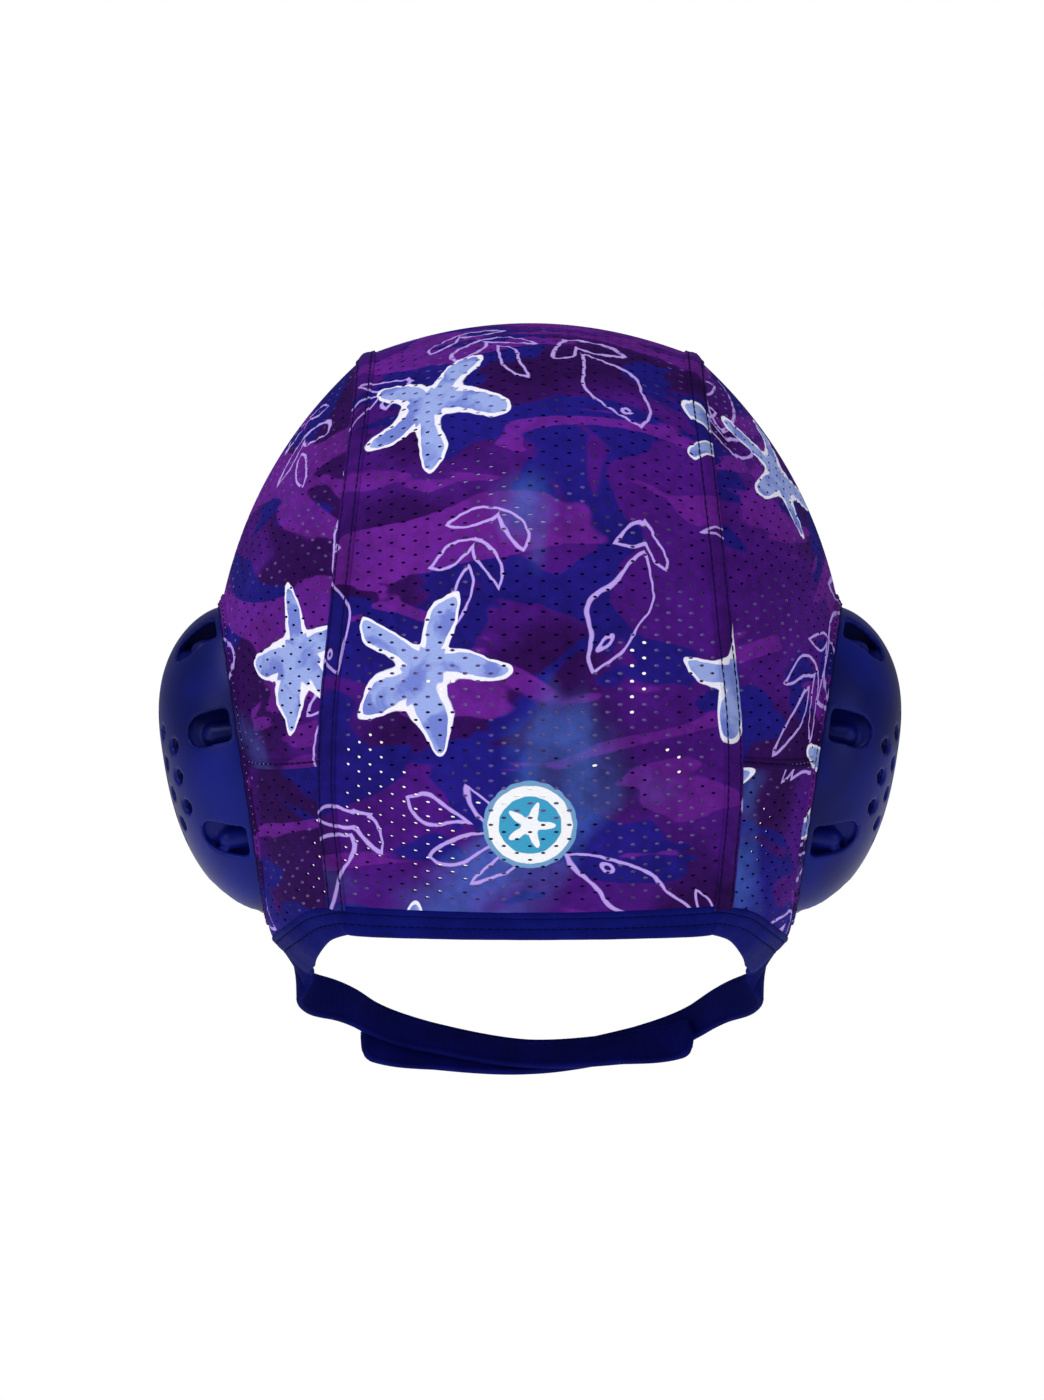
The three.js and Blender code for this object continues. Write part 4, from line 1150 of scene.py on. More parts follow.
class ClothPanel:
    """One cut piece of the cloth: flat places in metres and where they lie on the cap."""

    # Points closer than this are one point
    SAME_SPOT = 0.01 * MM
    # The least area of a cell, in m2
    SLIVER = 1e-9
    SHARP_FROM = 50

    def __init__(self, form: CapForm, shift: tuple[float, float]) -> None:
        """Takes the cap's form and how far the print is shifted on this piece."""
        self.form = form
        self.shift = np.array(shift)

    def extent(self) -> tuple[Array, Array]:
        """The lowest and highest flat corner."""
        raise NotImplementedError

    def held(self, flat: Array) -> tuple[Array, Array]:
        """Flat places brought inside the piece, and how far inside its edge each was."""
        raise NotImplementedError

    def surface(self, flat: Array) -> Array:
        """The points on the cap."""
        raise NotImplementedError

    def sheet(self, name: str, lattice: HoleLattice, mirror: bool) -> tuple[Mesh, float]:
        """The cloth as one layer of cells, ready to be pierced.

        Args:
            name: The mesh's name.
            lattice: The holes' lattice.
            mirror: Whether the piece is on the wearer's left.

        Returns:
            The mesh and the flat area of the cut.
        """
        low, high = self.extent()
        centres, corners = lattice.cells(low, high)
        keys, owners = np.unique(corners.reshape(-1, 2), axis=0, return_inverse=True)
        owners = owners.reshape(-1, len(lattice.CORNERS))
        flat, inside = self.held(keys * lattice.step)
        kept = (inside[owners] > 0).any(axis=1)
        owners, centres = owners[kept], centres[kept]
        middle_flat, middle_inside = self.held(centres * lattice.step)
        points = self.surface(flat)
        spots = np.round(points / self.SAME_SPOT).astype(int)
        _, first, same = np.unique(spots, axis=0, return_index=True, return_inverse=True)
        points, flat = points[first], flat[first]
        used, faces, rows = {}, [], []
        area = 0.0
        for row, face in enumerate(same.reshape(-1)[owners]):
            ring = [v for i, v in enumerate(face) if v != face[i - 1]]
            x, y = flat[ring].T
            size = 0.5 * abs(np.dot(x, np.roll(y, -1)) - np.dot(y, np.roll(x, -1))) if len(ring) > 2 else 0.0
            if size < self.SLIVER or len(set(ring)) < len(ring):
                continue
            area += size
            rows.append(row)
            faces.append([used.setdefault(v, len(used)) for v in ring])
        order = list(used)
        points, flat = points[order], flat[order]
        beside = np.array([0.5 * MM, 0.0])
        wale = unit(self.surface(middle_flat[rows] + beside) - self.surface(middle_flat[rows] - beside))
        cell = self.surface(middle_flat[rows])
        whole = np.array([len(face) == len(lattice.CORNERS) for face in faces])
        pierced = (middle_inside[rows] > lattice.margin) & whole
        print_flat, print_cell = flat + self.shift, middle_flat[rows] + self.shift
        if mirror:
            points, cell, wale = mirrored(points), mirrored(cell), mirrored(wale)
            print_flat, print_cell = print_flat * (-1, 1), print_cell * (-1, 1)
            faces = [face[::-1] for face in faces]
        mesh = bpy.data.meshes.new(name)
        mesh.from_pydata(points.tolist(), [], faces)
        self.turn_out(mesh)
        note(mesh, "flat", "POINT", print_flat)
        for word, values in (("cell_flat", print_cell), ("cell", cell), ("wale", wale)):
            note(mesh, word, "FACE", values)
        mesh.attributes.new("pierced", "BOOLEAN", "FACE").data.foreach_set("value", pierced)
        return mesh, area

    def turn_out(self, mesh: Mesh) -> None:
        """Turns a layer of cloth so that its faces look away from the head."""
        head = Vector(self.form.head)
        facing = sum(face.normal.dot(face.center - head) * face.area for face in mesh.polygons)
        if facing < 0:
            mesh.flip_normals()

    def build(self, node: str, lattice: HoleLattice, tree: GeometryTree, side: Side = Side.RIGHT) -> Object:
        """The finished piece of cloth.

        Args:
            node: The CAD node that it stands for.
            lattice: The holes' lattice.
            tree: The tree that pierces it.
            side: The wearer's side.

        Returns:
            The piece, with its flat area and size kept on it.
        """
        mesh, area = self.sheet(node + "_cloth", lattice, side is Side.LEFT)
        piece = mesh_object(node + "_cloth", mesh)
        tree.run_on(piece)
        self.lay_flat(piece.data)
        shade(piece.data, self.SHARP_FROM)
        low, high = self.extent()
        finished(piece, [node])
        piece["cut_area"] = area
        piece["cut_size"] = [float(v) for v in high - low]
        return piece

    @staticmethod
    def lay_flat(mesh: Mesh) -> None:
        """Turns the points' flat places into the UV map and drops what was only for the making."""
        flat = np.zeros(len(mesh.vertices) * 3, np.float32)
        mesh.attributes["flat"].data.foreach_get("vector", flat)
        places = flat.reshape(-1, 3)[corner_points(mesh), :2]
        for name in ("flat", "cell_flat", "cell", "wale", "pierced", "inner", "hollow"):
            if name in mesh.attributes:
                mesh.attributes.remove(mesh.attributes[name])
        mesh.uv_layers.new(name="flat").data.foreach_set("uv", places.ravel())


class CentrePanel(ClothPanel):
    """The panel over the crown from the forehead to the nape."""

    FINE = 41

    def __init__(self, form: CapForm, shift: tuple[float, float]) -> None:
        """Measures the panel's rows."""
        super().__init__(form, shift)
        fine = np.linspace(0, 1, 401)
        self.run = lengths_along(form.centre_line.at(fine))
        self.run_shares = fine
        self.rows = np.linspace(0, 1, 121)
        self.across = np.linspace(0, 1, self.FINE)
        rows = [lengths_along(form.panel_point(np.full(self.FINE, a), self.across)) for a in self.rows]
        self.widths = np.stack(rows)

    def along(self, run: Array) -> Array:
        """The share of the panel's length at a distance from the forehead edge."""
        return np.interp(run, self.run, self.run_shares)

    def width_at(self, run: Array) -> Array:
        """The distance from the centre line to the seam."""
        return np.interp(self.along(run), self.rows, self.widths[:, -1])

    def extent(self) -> tuple[Array, Array]:
        """The lowest and highest flat corner."""
        widest = self.widths[:, -1].max()
        return np.array([-widest, 0.0]), np.array([widest, self.run[-1]])

    def held(self, flat: Array) -> tuple[Array, Array]:
        """Flat places brought inside the piece, and how far inside its edge each was."""
        run = np.clip(flat[:, 1], 0, self.run[-1])
        limit = self.width_at(run) - self.form.sizes.seam_gap / 2
        inside = np.minimum(limit - abs(flat[:, 0]), np.minimum(flat[:, 1], self.run[-1] - flat[:, 1]))
        return np.stack([np.clip(flat[:, 0], -limit, limit), run], axis=1), inside

    def shares(self, flat: Array) -> tuple[Array, Array]:
        """The panel's two shares at flat places."""
        along = self.along(flat[:, 1])
        row = along * (len(self.rows) - 1)
        lower = np.minimum(row.astype(int), len(self.rows) - 2)
        part = (row - lower)[:, None]
        widths = self.widths[lower] * (1 - part) + self.widths[lower + 1] * part
        distance = np.abs(flat[:, 0])
        across = np.array([np.interp(d, w, self.across) for d, w in zip(distance, widths)])
        return along, across * np.sign(flat[:, 0])

    def surface(self, flat: Array) -> Array:
        """The points on the cap."""
        return self.form.panel_point(*self.shares(flat))

    def run_at_drop(self, height: float) -> float:
        """The distance from the forehead edge at which the back of the panel has a height."""
        line = self.form.centre_line.at(self.run_shares)
        back = len(line) // 2
        return float(np.interp(-height, -line[back:, 2], self.run[back:]))


class SideCloth(ClothPanel):
    """The cloth round a guard, laid out flat round the guard's middle: forward is across, up is up."""

    TABLE = 720
    # How far a place's ray may lie from its plain angle, and how often that range is halved
    SEARCH = 0.45
    HALVINGS = 26

    def __init__(self, form: CapForm, level: Level, shift: tuple[float, float]) -> None:
        """Measures the rays from the guard to the boundary."""
        super().__init__(form, shift)
        self.level = level
        s = form.sizes
        self.angles = np.linspace(-TURN / 4, TURN * 1.25, self.TABLE * 3 // 2 + 1)
        sin, cos = np.sin(self.angles), np.cos(self.angles)
        self.start = np.stack([-s.guard_width / 2 * sin, s.guard_height / 2 * cos], axis=1)
        edge = form.edge_point(self.angles)
        self.heading = unit(edge[:, 1:] - form.guard_centre[1:] - self.start)
        shares = np.linspace(0, 1, 13)
        rays = np.stack([form.side_point(self.angles, np.full(len(self.angles), k)) for k in shares])
        self.length = np.linalg.norm(np.diff(rays, axis=0), axis=2).sum(axis=0)

    def ray(self, angle: Array) -> tuple[Array, Array, Array]:
        """A ray's flat start, flat heading and length."""
        columns = (*self.start.T, *self.heading.T, self.length)
        read = [np.interp(angle, self.angles, column) for column in columns]
        return np.stack(read[:2], axis=1), unit(np.stack(read[2:4], axis=1)), read[4]

    def find(self, flat: Array) -> tuple[Array, Array, Array]:
        """The angle, the share and the ray's length at flat places."""
        guess = np.mod(np.arctan2(-flat[:, 0], flat[:, 1]), TURN)
        low, high = guess - self.SEARCH, guess + self.SEARCH
        for _ in range(self.HALVINGS):
            middle = (low + high) / 2
            start, heading, _ = self.ray(middle)
            away = flat - start
            ahead = heading[:, 0] * away[:, 1] - heading[:, 1] * away[:, 0] > 0
            low, high = np.where(ahead, middle, low), np.where(ahead, high, middle)
        start, heading, length = self.ray((low + high) / 2)
        return (low + high) / 2, np.sum((flat - start) * heading, axis=1) / length, length

    def flat_at(self, angle: Array, share: Array) -> Array:
        """The flat places at angles and shares."""
        start, heading, length = self.ray(np.mod(angle, TURN))
        return start + heading * (share * length)[:, None]

    def extent(self) -> tuple[Array, Array]:
        """The lowest and highest flat corner."""
        edge = self.start + self.heading * self.length[:, None]
        edge = edge[edge[:, 1] * self.level.value >= -1 * MM]
        low, high = edge.min(axis=0), edge.max(axis=0)
        if self.level is Level.UPPER:
            return np.array([low[0], 0.0]), high
        return low, np.array([high[0], 0.0])

    def held(self, flat: Array) -> tuple[Array, Array]:
        """Flat places brought inside the piece, and how far inside its edge each was."""
        gap = self.form.sizes.seam_gap / 2
        beyond = flat[:, 1] * self.level.value - gap
        level = np.stack([flat[:, 0], np.where(beyond > 0, flat[:, 1], gap * self.level.value)], axis=1)
        angle, share, length = self.find(level)
        inner, outer = 2 * gap / length, 1 - gap / length
        inside = np.minimum(np.minimum(share - inner, outer - share) * length, beyond)
        start, heading, _ = self.ray(angle)
        return start + heading * (np.clip(share, inner, outer) * length)[:, None], inside

    def surface(self, flat: Array) -> Array:
        """The points on the cap."""
        angle, share, _ = self.find(flat)
        return self.form.side_point(np.mod(angle, TURN), share)


# Seams


@dataclass(frozen=True)
class ReliefProfile:
    """A sewn fold's height over the cloth at offsets from its middle line."""

    offsets: tuple[float, ...]
    heights: tuple[float, ...]
    pucker: float = 0.25
    pucker_length: float = 7 * MM
    depth: float = 0.45 * MM

    def strip(self, name: str, base: Array, out: Array, flat: Array, closed: bool = False) -> Mesh:
        """A closed strip of doubled cloth.

        Args:
            name: The mesh's name.
            base: Points on the cloth, by place along the seam and offset.
            out: The directions out of the cloth at them.
            flat: Their places in the print.
            closed: Whether the strip is a ring.

        Returns:
            The mesh.
        """
        top = self.top(base, out)
        bottom = base - out * self.depth
        rings = np.concatenate([top, bottom[:, ::-1]], axis=1)
        return swept(name, rings, np.concatenate([flat, flat[:, ::-1]], axis=1), closed)

    def top(self, base: Array, out: Array) -> Array:
        """The fold's upper side."""
        run = lengths_along(base[:, base.shape[1] // 2])
        length = self.pucker_length
        wave = 1 + self.pucker * np.sin(TURN * run / length) * np.sin(TURN * run / (3.7 * length))
        return base + out * (np.array(self.heights)[None, :] * wave[:, None])[..., None]


FELLED_SEAM = ReliefProfile(
    offsets=tuple(v * MM for v in (-3.5, -3.2, -2.7, -2.3, -1.9, -1.0, 0.0, 1.0, 1.9, 2.3, 2.7, 3.2, 3.5)),
    heights=tuple(v * MM for v in (-0.1, 0.5, 0.62, 0.28, 0.62, 0.8, 0.85, 0.8, 0.62, 0.28, 0.62, 0.5, -0.1)),
)
SINGLE_SEAM = ReliefProfile(
    offsets=tuple(v * MM for v in (-1.7, -1.4, -1.0, -0.6, -0.25, 0.0, 0.25, 0.6, 1.0, 1.4, 1.7)),
    heights=tuple(v * MM for v in (-0.1, 0.22, 0.34, 0.36, 0.2, -0.02, 0.2, 0.45, 0.42, 0.25, -0.1)),
)
GUARD_HEM = ReliefProfile(
    offsets=tuple(v * MM for v in (0.0, 0.35, 0.9, 1.5, 2.0, 2.4, 2.8, 3.3, 3.6)),
    heights=tuple(v * MM for v in (0.25, 0.75, 0.95, 0.8, 0.55, 0.35, 0.6, 0.5, -0.1)),
    pucker=0.18,
)


def grid_of(columns: Sequence[Grid]) -> Grid:
    """One grid of columns that each have points, directions and print places."""
    return tuple(np.stack(part, axis=1) for part in zip(*columns))


@dataclass
class Seams:
    """The folds where the cloth is sewn together and to the guards."""

    form: CapForm
    centre: CentrePanel
    upper: SideCloth
    cloth: Material
    steps: int = 260
    turn_over: float = 4 * MM
    stitch_lift: float = 0.1 * MM
    lines: list[tuple[Array, Array]] = field(default_factory=list)
    edges: list[tuple[Array, Array]] = field(default_factory=list)

    # Which offsets carry stitches, and which of them is the cloth's edge on a guard
    CROWN_ROWS = (3, 9)
    HEM_ROWS = (1, 5)
    CROSS_ROWS = (5,)
    EDGE_ROW = 1
    # The parts of a ray on which a cross seam runs, and how far a hem stays off its guard
    CROSS_SHARES = (0.04, 0.985)
    HEM_GAP = 0.15 * MM

    def crown_seam(self) -> Grid:
        """The right seam's grid on the cloth, its outward directions and its places in the print."""
        along = self.centre.along(np.linspace(0, self.centre.run[-1], self.steps))
        seam = self.form.seam_line.at(along)
        angle = self.form.angle_of(seam)
        run = np.interp(along, self.centre.run_shares, self.centre.run)
        _, _, length = self.upper.ray(angle)
        width = self.centre.width_at(run)
        near = self.form.panel_normal(along, np.ones(len(along)))
        far = self.form.side_normal(angle, np.ones(len(along)))
        columns = []
        for offset in FELLED_SEAM.offsets:
            places = np.stack([width + offset, run], axis=1)
            if offset <= 0:
                points = self.centre.surface(places)
            else:
                points = self.form.side_point(angle, 1 - offset / length)
            share = np.clip(0.5 + offset / self.turn_over, 0, 1)
            columns.append((points, unit(near * (1 - share) + far * share), places + self.centre.shift))
        return grid_of(columns)

    def cross_seam(self, angle: float) -> Grid:
        """The grid of the short seam between the upper and the lower side cloth at an angle."""
        share = np.linspace(0.0, 1.0, 40)
        start, heading, length = self.upper.ray(np.full(len(share), angle))
        line = start + heading * (np.clip(share, *self.CROSS_SHARES) * length)[:, None]
        columns = []
        for offset in SINGLE_SEAM.offsets:
            places = line + np.array([0.0, offset])
            found, part, _ = self.upper.find(places)
            at = np.mod(found, TURN), part
            columns.append((self.form.side_point(*at), self.form.side_normal(*at), places + self.upper.shift))
        return grid_of(columns)

    def guard_hem(self) -> Grid:
        """The grid of the hem round the guard."""
        angle = np.linspace(0, TURN, 240, endpoint=False)
        _, _, length = self.upper.ray(angle)
        columns = []
        for offset in GUARD_HEM.offsets:
            at = angle, (offset + self.HEM_GAP) / length
            flat = self.upper.flat_at(*at) + self.upper.shift
            columns.append((self.form.side_point(*at), self.form.side_normal(*at), flat))
        return grid_of(columns)

    def add(
        self, name: str, profile: ReliefProfile, grid: Grid, side: Side, rows: Sequence[int],
        closed: bool = False,
    ) -> Object:
        """Builds one fold and notes where its stitches run.

        Args:
            name: The piece's name.
            profile: Its relief.
            grid: Its grid, outward directions and print places, on the wearer's right.
            side: The wearer's side.
            rows: The offsets' numbers that carry stitches.
            closed: Whether it is a ring.

        Returns:
            The piece.
        """
        base, out, flat = grid
        if side is Side.LEFT:
            base, out, flat = mirrored(base), mirrored(out), flat * (-1, 1)
        mesh = profile.strip(name, base, out, flat, closed)
        piece = mesh_object(f"{name}_{side.word}", mesh, self.cloth, 60)
        top = profile.top(base, out)
        for row in rows:
            line, facing = top[:, row] + out[:, row] * self.stitch_lift, out[:, row]
            if closed:
                line, facing = np.vstack([line, line[:1]]), np.vstack([facing, facing[:1]])
            (self.edges if row == self.EDGE_ROW else self.lines).append((line, facing))
        return finished(piece)

    def build(self, side: Side) -> list[Object]:
        """All folds on one side."""
        back, front = self.cross_seam(TURN / 4), self.cross_seam(TURN * 3 / 4)
        return [
            self.add("crown_seam", FELLED_SEAM, self.crown_seam(), side, self.CROWN_ROWS),
            self.add("guard_hem", GUARD_HEM, self.guard_hem(), side, self.HEM_ROWS, closed=True),
            self.add("cross_seam_back", SINGLE_SEAM, back, side, self.CROSS_ROWS),
            self.add("cross_seam_front", SINGLE_SEAM, front, side, self.CROSS_ROWS),
        ]


# Binding


@dataclass
class Binding:
    """Folded elastic tape over the cloth's free edges."""

    form: CapForm
    material: Material
    wall: float = 2.4 * MM
    nape_height: float = 9.2 * MM
    corner_height: float = 14 * MM
    face_height: float = 9 * MM
    face_start: float = 0.02
    ring_step: float = 1.1 * MM
    overlap: float = 1.4 * MM
    lines: list[tuple[Array, Array]] = field(default_factory=list)

    # The tape's face: distances down from its top edge in mm, of which those past FIXED are stretched over
    # its height, and how full it is there
    DOWN = (0.0, 0.25, 0.7, 1.3, 1.75, 2.0, 2.25, 2.7, 3.4, 4.2, 5.0, 5.4, 5.8, 6.5, 7.3, 8.1, 8.7, 9.05, 9.2)
    FULL = (
        0.35, 0.72, 0.95, 1.0, 0.9, 0.72, 0.9, 1.0, 1.02, 1.0, 0.9, 0.74, 0.92, 1.0, 1.0, 0.96, 0.8, 0.5, 0.2,
    )
    FIXED = 5.8 * MM
    # How the band leans: degrees at the middle of the nape and at the corners, and radians at the face
    NAPE_LEANS = (4, 14)
    FACE_LEAN = 0.05
    STITCH_ROWS = (5, 11)
    STITCH_LIFT = 0.12 * MM
    # Points on the nape edge's and the face edge's side parts, and on the middle parts
    NAPE_POINTS = 90
    FACE_POINTS = 160
    MIDDLE_POINTS = 118

    def edge_line(self, angles: Array, along: float) -> tuple[Array, Array]:
        """An edge's points and normals: the right side at angles, the centre panel's end, the left side."""
        form, count = self.form, self.MIDDLE_POINTS
        points, normals = form.edge_point(angles), form.side_normal(angles, np.ones(len(angles)))
        rows, across = np.full(count, along), np.linspace(1, -1, count + 2)[1:-1]
        points = np.vstack([points, form.panel_point(rows, across), mirrored(points)[::-1]])
        normals = np.vstack([normals, form.panel_normal(rows, across), mirrored(normals)[::-1]])
        return points, normals

    def nape_line(self) -> Edge:
        """The nape edge from the left corner to the right one: points, normals, heights and leans."""
        angles = np.linspace(self.form.nape_angle, self.form.corner_angle, self.NAPE_POINTS)
        points, normals = self.edge_line(angles[::-1], 1.0)
        share = np.minimum(1, 2 * np.linspace(0, 1, self.NAPE_POINTS))
        share = np.concatenate([share[::-1], np.zeros(self.MIDDLE_POINTS), share])
        heights = self.nape_height + (self.corner_height - self.nape_height) * share
        least, most = self.NAPE_LEANS
        return points[::-1], normals[::-1], heights, np.radians(least + (most - least) * share)

    def face_line(self) -> Edge:
        """The face edge from the right corner over the forehead to the left one."""
        start = self.form.corner_angle + self.face_start
        angles = np.linspace(start, self.form.forehead_angle, self.FACE_POINTS)
        points, normals = self.edge_line(angles, 0.0)
        heights = np.full(len(points), self.face_height)
        return points, normals, heights, np.full(len(points), self.FACE_LEAN)

    def frames(self, line: Edge) -> tuple[Array, ...]:
        """The band's middle, down and out directions, heights and run along an edge."""
        total = lengths_along(line[0])[-1]
        count = int(total / self.ring_step)
        points, normals, heights, leans = resampled(count, *line)
        normals = softened(normals, 24)
        along = softened(unit(np.gradient(points, axis=0)), 3)
        away = unit(np.cross(along, normals))
        down = unit(away * np.cos(leans)[:, None] - normals * np.sin(leans)[:, None])
        out = unit(np.cross(along, down))
        out *= np.where(np.sum(out * normals, axis=1, keepdims=True) < 0, -1, 1)
        return points - normals * self.form.sizes.cloth_wall / 2, down, out, heights, lengths_along(points)

    def band(self, name: str, line: Edge, node: str) -> Object:
        """One band and its stitch lines.

        Args:
            name: The piece's name.
            line: The edge that it binds.
            node: The CAD node that it stands for.

        Returns:
            The piece.
        """
        middle, down, out, heights, run = self.frames(line)
        depth = np.array(self.DOWN) * MM
        full = np.array(self.FULL) * self.wall / 2
        rest = (depth - self.FIXED) / (depth[-1] - self.FIXED)
        stretched = self.FIXED + rest[None] * (heights[:, None] - self.FIXED)
        drops = np.where(depth[None] <= self.FIXED, depth[None], stretched)
        drops = drops * (1 + self.overlap / heights[:, None]) - self.overlap
        sway = 1 + 0.05 * np.sin(TURN * run / (23 * MM)) + 0.03 * np.sin(TURN * run / (9.1 * MM))
        centre = middle[:, None] + down[:, None] * drops[..., None]
        swell = out[:, None] * (full[None] * sway[:, None])[..., None]
        outer, inner = centre + swell, centre - swell
        rings = np.concatenate([outer, inner[:, ::-1]], axis=1)
        spread = np.repeat(run[:, None], rings.shape[1], axis=1)
        flat = np.stack([spread, np.concatenate([drops, drops[:, ::-1]], axis=1)], axis=2)
        piece = mesh_object(name, swept(name, rings, flat), self.material, 70)
        for row in self.STITCH_ROWS:
            self.lines.append((outer[:, row] + out * self.STITCH_LIFT, out))
            self.lines.append((inner[:, row] - out * self.STITCH_LIFT, -out))
        return finished(piece, [node])

    def end_frame(self) -> tuple[Array, Array, Array]:
        """The right end of the nape band: its middle, its up and its out direction."""
        middle, down, out, heights, _ = self.frames(self.nape_line())
        centre = middle[-1] + down[-1] * (heights[-1] + self.form.sizes.seam_gap) / 2
        return centre, -down[-1], out[-1]

    def build(self) -> list[Object]:
        """Both bands."""
        return [
            self.band("nape_tape", self.nape_line(), "nape_binding"),
            self.band("face_tape", self.face_line(), "face_binding"),
        ]


# Chin strap

# Out, forward and drop of a strap's middle line as shares, and its roll in degrees
STRAP_SECTIONS = (
    (0.801, 0.403, 0.899, 20),
    (0.702, 0.597, 0.928, 32),
    (0.561, 0.776, 0.963, 42),
    (0.351, 0.925, 0.984, 52),
    (0.0, 1.0, 1.0, 57),
)


@dataclass
class ChinStrap:
    """Two straps that lie on each other under the chin."""

    form: CapForm
    root: tuple[Array, Array, Array]
    material: Material
    width: float = 14 * MM
    wall: float = 2 * MM
    drop: float = 222 * MM
    forward: float = 67 * MM
    crossing: float = 4 * MM
    end: float = 50.5 * MM
    end_radius: float = 3.5 * MM
    settle: float = 14 * MM
    steps: int = 200

    # The strap's section: shares of half its width and half its wall, round from the upper edge
    SECTION = (
        (1.0, 0.0), (0.985, 0.45), (0.93, 0.85), (0.84, 1.0), (0.76, 0.78), (0.68, 1.0), (0.35, 1.05),
        (0.0, 1.06), (-0.35, 1.05), (-0.68, 1.0), (-0.76, 0.78), (-0.84, 1.0), (-0.93, 0.85), (-0.985, 0.45),
    )

    def line(self) -> Array:
        """The strap's middle line from the right root over the chin to the left one, spread evenly."""
        s = self.form.sizes
        middle, up, out = self.root
        start = middle - np.cross(out, up) * s.seam_gap
        rows = np.array(STRAP_SECTIONS)
        y, z = rows[:, 1] * self.forward, s.cloth_wall - rows[:, 2] * self.drop
        sections = np.stack([rows[:, 0] * s.guard_spread, y, z], axis=1)
        half = np.vstack([start, sections])
        whole = Curve(np.vstack([half, mirrored(half[:-1])[::-1]]))
        return resampled(1200, whole.at(np.linspace(0, 1, 2400)))[0]

    def rings(self, layer: int) -> tuple[Array, Array]:
        """A strap's section rings and its middle line."""
        line = self.line()
        along = unit(np.gradient(line, axis=0))
        reach = int(np.argmax(line[:, 0] < -self.end))
        line, along = resampled(self.steps, line[: reach + 1], along[: reach + 1])
        rows = np.array(STRAP_SECTIONS)[::-1]
        share_out = np.minimum(np.abs(line[:, 0]) / self.form.sizes.guard_spread, rows[-1, 0])
        roll = np.radians(np.interp(share_out, rows[:, 0], rows[:, 3]))
        wide = np.stack([np.zeros(len(roll)), np.sin(roll), np.cos(roll)], axis=1)
        wide = unit(wide - along * np.sum(wide * along, axis=1, keepdims=True))
        out = unit(np.cross(wide, along))
        settle = smoothstep(lengths_along(line) / self.settle)[:, None]
        wide = unit(self.root[1] * (1 - settle) + wide * settle)
        out = unit(self.root[2] * (1 - settle) + out * settle)
        root_out = line[0, 0]
        from_root = smoothstep((root_out - line[:, 0]) / (root_out - self.end - self.wall))
        sideways = np.clip(line[:, 0] / self.end, -1, 1) * from_root * self.crossing
        lift = layer * (self.wall + self.form.sizes.seam_gap) * from_root
        middle = line + wide * sideways[:, None] + out * lift[:, None]
        section = np.array(self.SECTION)
        section = np.vstack([section, [(-1.0, 0.0)], (section * (1, -1))[1:][::-1]])
        taper = self.end_shape(lengths_along(line))
        across = section[None, :, 0] * taper[:, None] * self.width / 2
        out_by = np.repeat(section[None, :, 1] * self.wall / 2, len(line), axis=0)
        rings = middle[:, None] + wide[:, None] * across[..., None] + out[:, None] * out_by[..., None]
        return rings, middle

    def end_shape(self, run: Array) -> Array:
        """The strap's width as a share of its full width, round at the free end."""
        left = np.clip((run[-1] - run) / self.end_radius, 0, 1)
        corner = 1 - np.sqrt(np.maximum(0.0, 1 - (1 - left) ** 2))
        return 1 - corner * self.end_radius / (self.width / 2)

    def build(self) -> list[Object]:
        """Both straps."""
        pieces = []
        for side, layer in ((Side.RIGHT, 0), (Side.LEFT, 1)):
            rings, middle = self.rings(layer)
            run = lengths_along(middle)
            across = np.linalg.norm(rings - rings[:, :1], axis=2)
            flat = np.stack([np.repeat(run[:, None], rings.shape[1], axis=1), across], axis=2)
            if side is Side.LEFT:
                rings = mirrored(rings)
            mesh = swept("strap", rings, flat)
            piece = mesh_object(f"chin_strap_{side.word}_tape", mesh, self.material, 70)
            pieces.append(finished(piece, [f"chin_strap_{side.word}"]))
        return pieces


# Ear guards


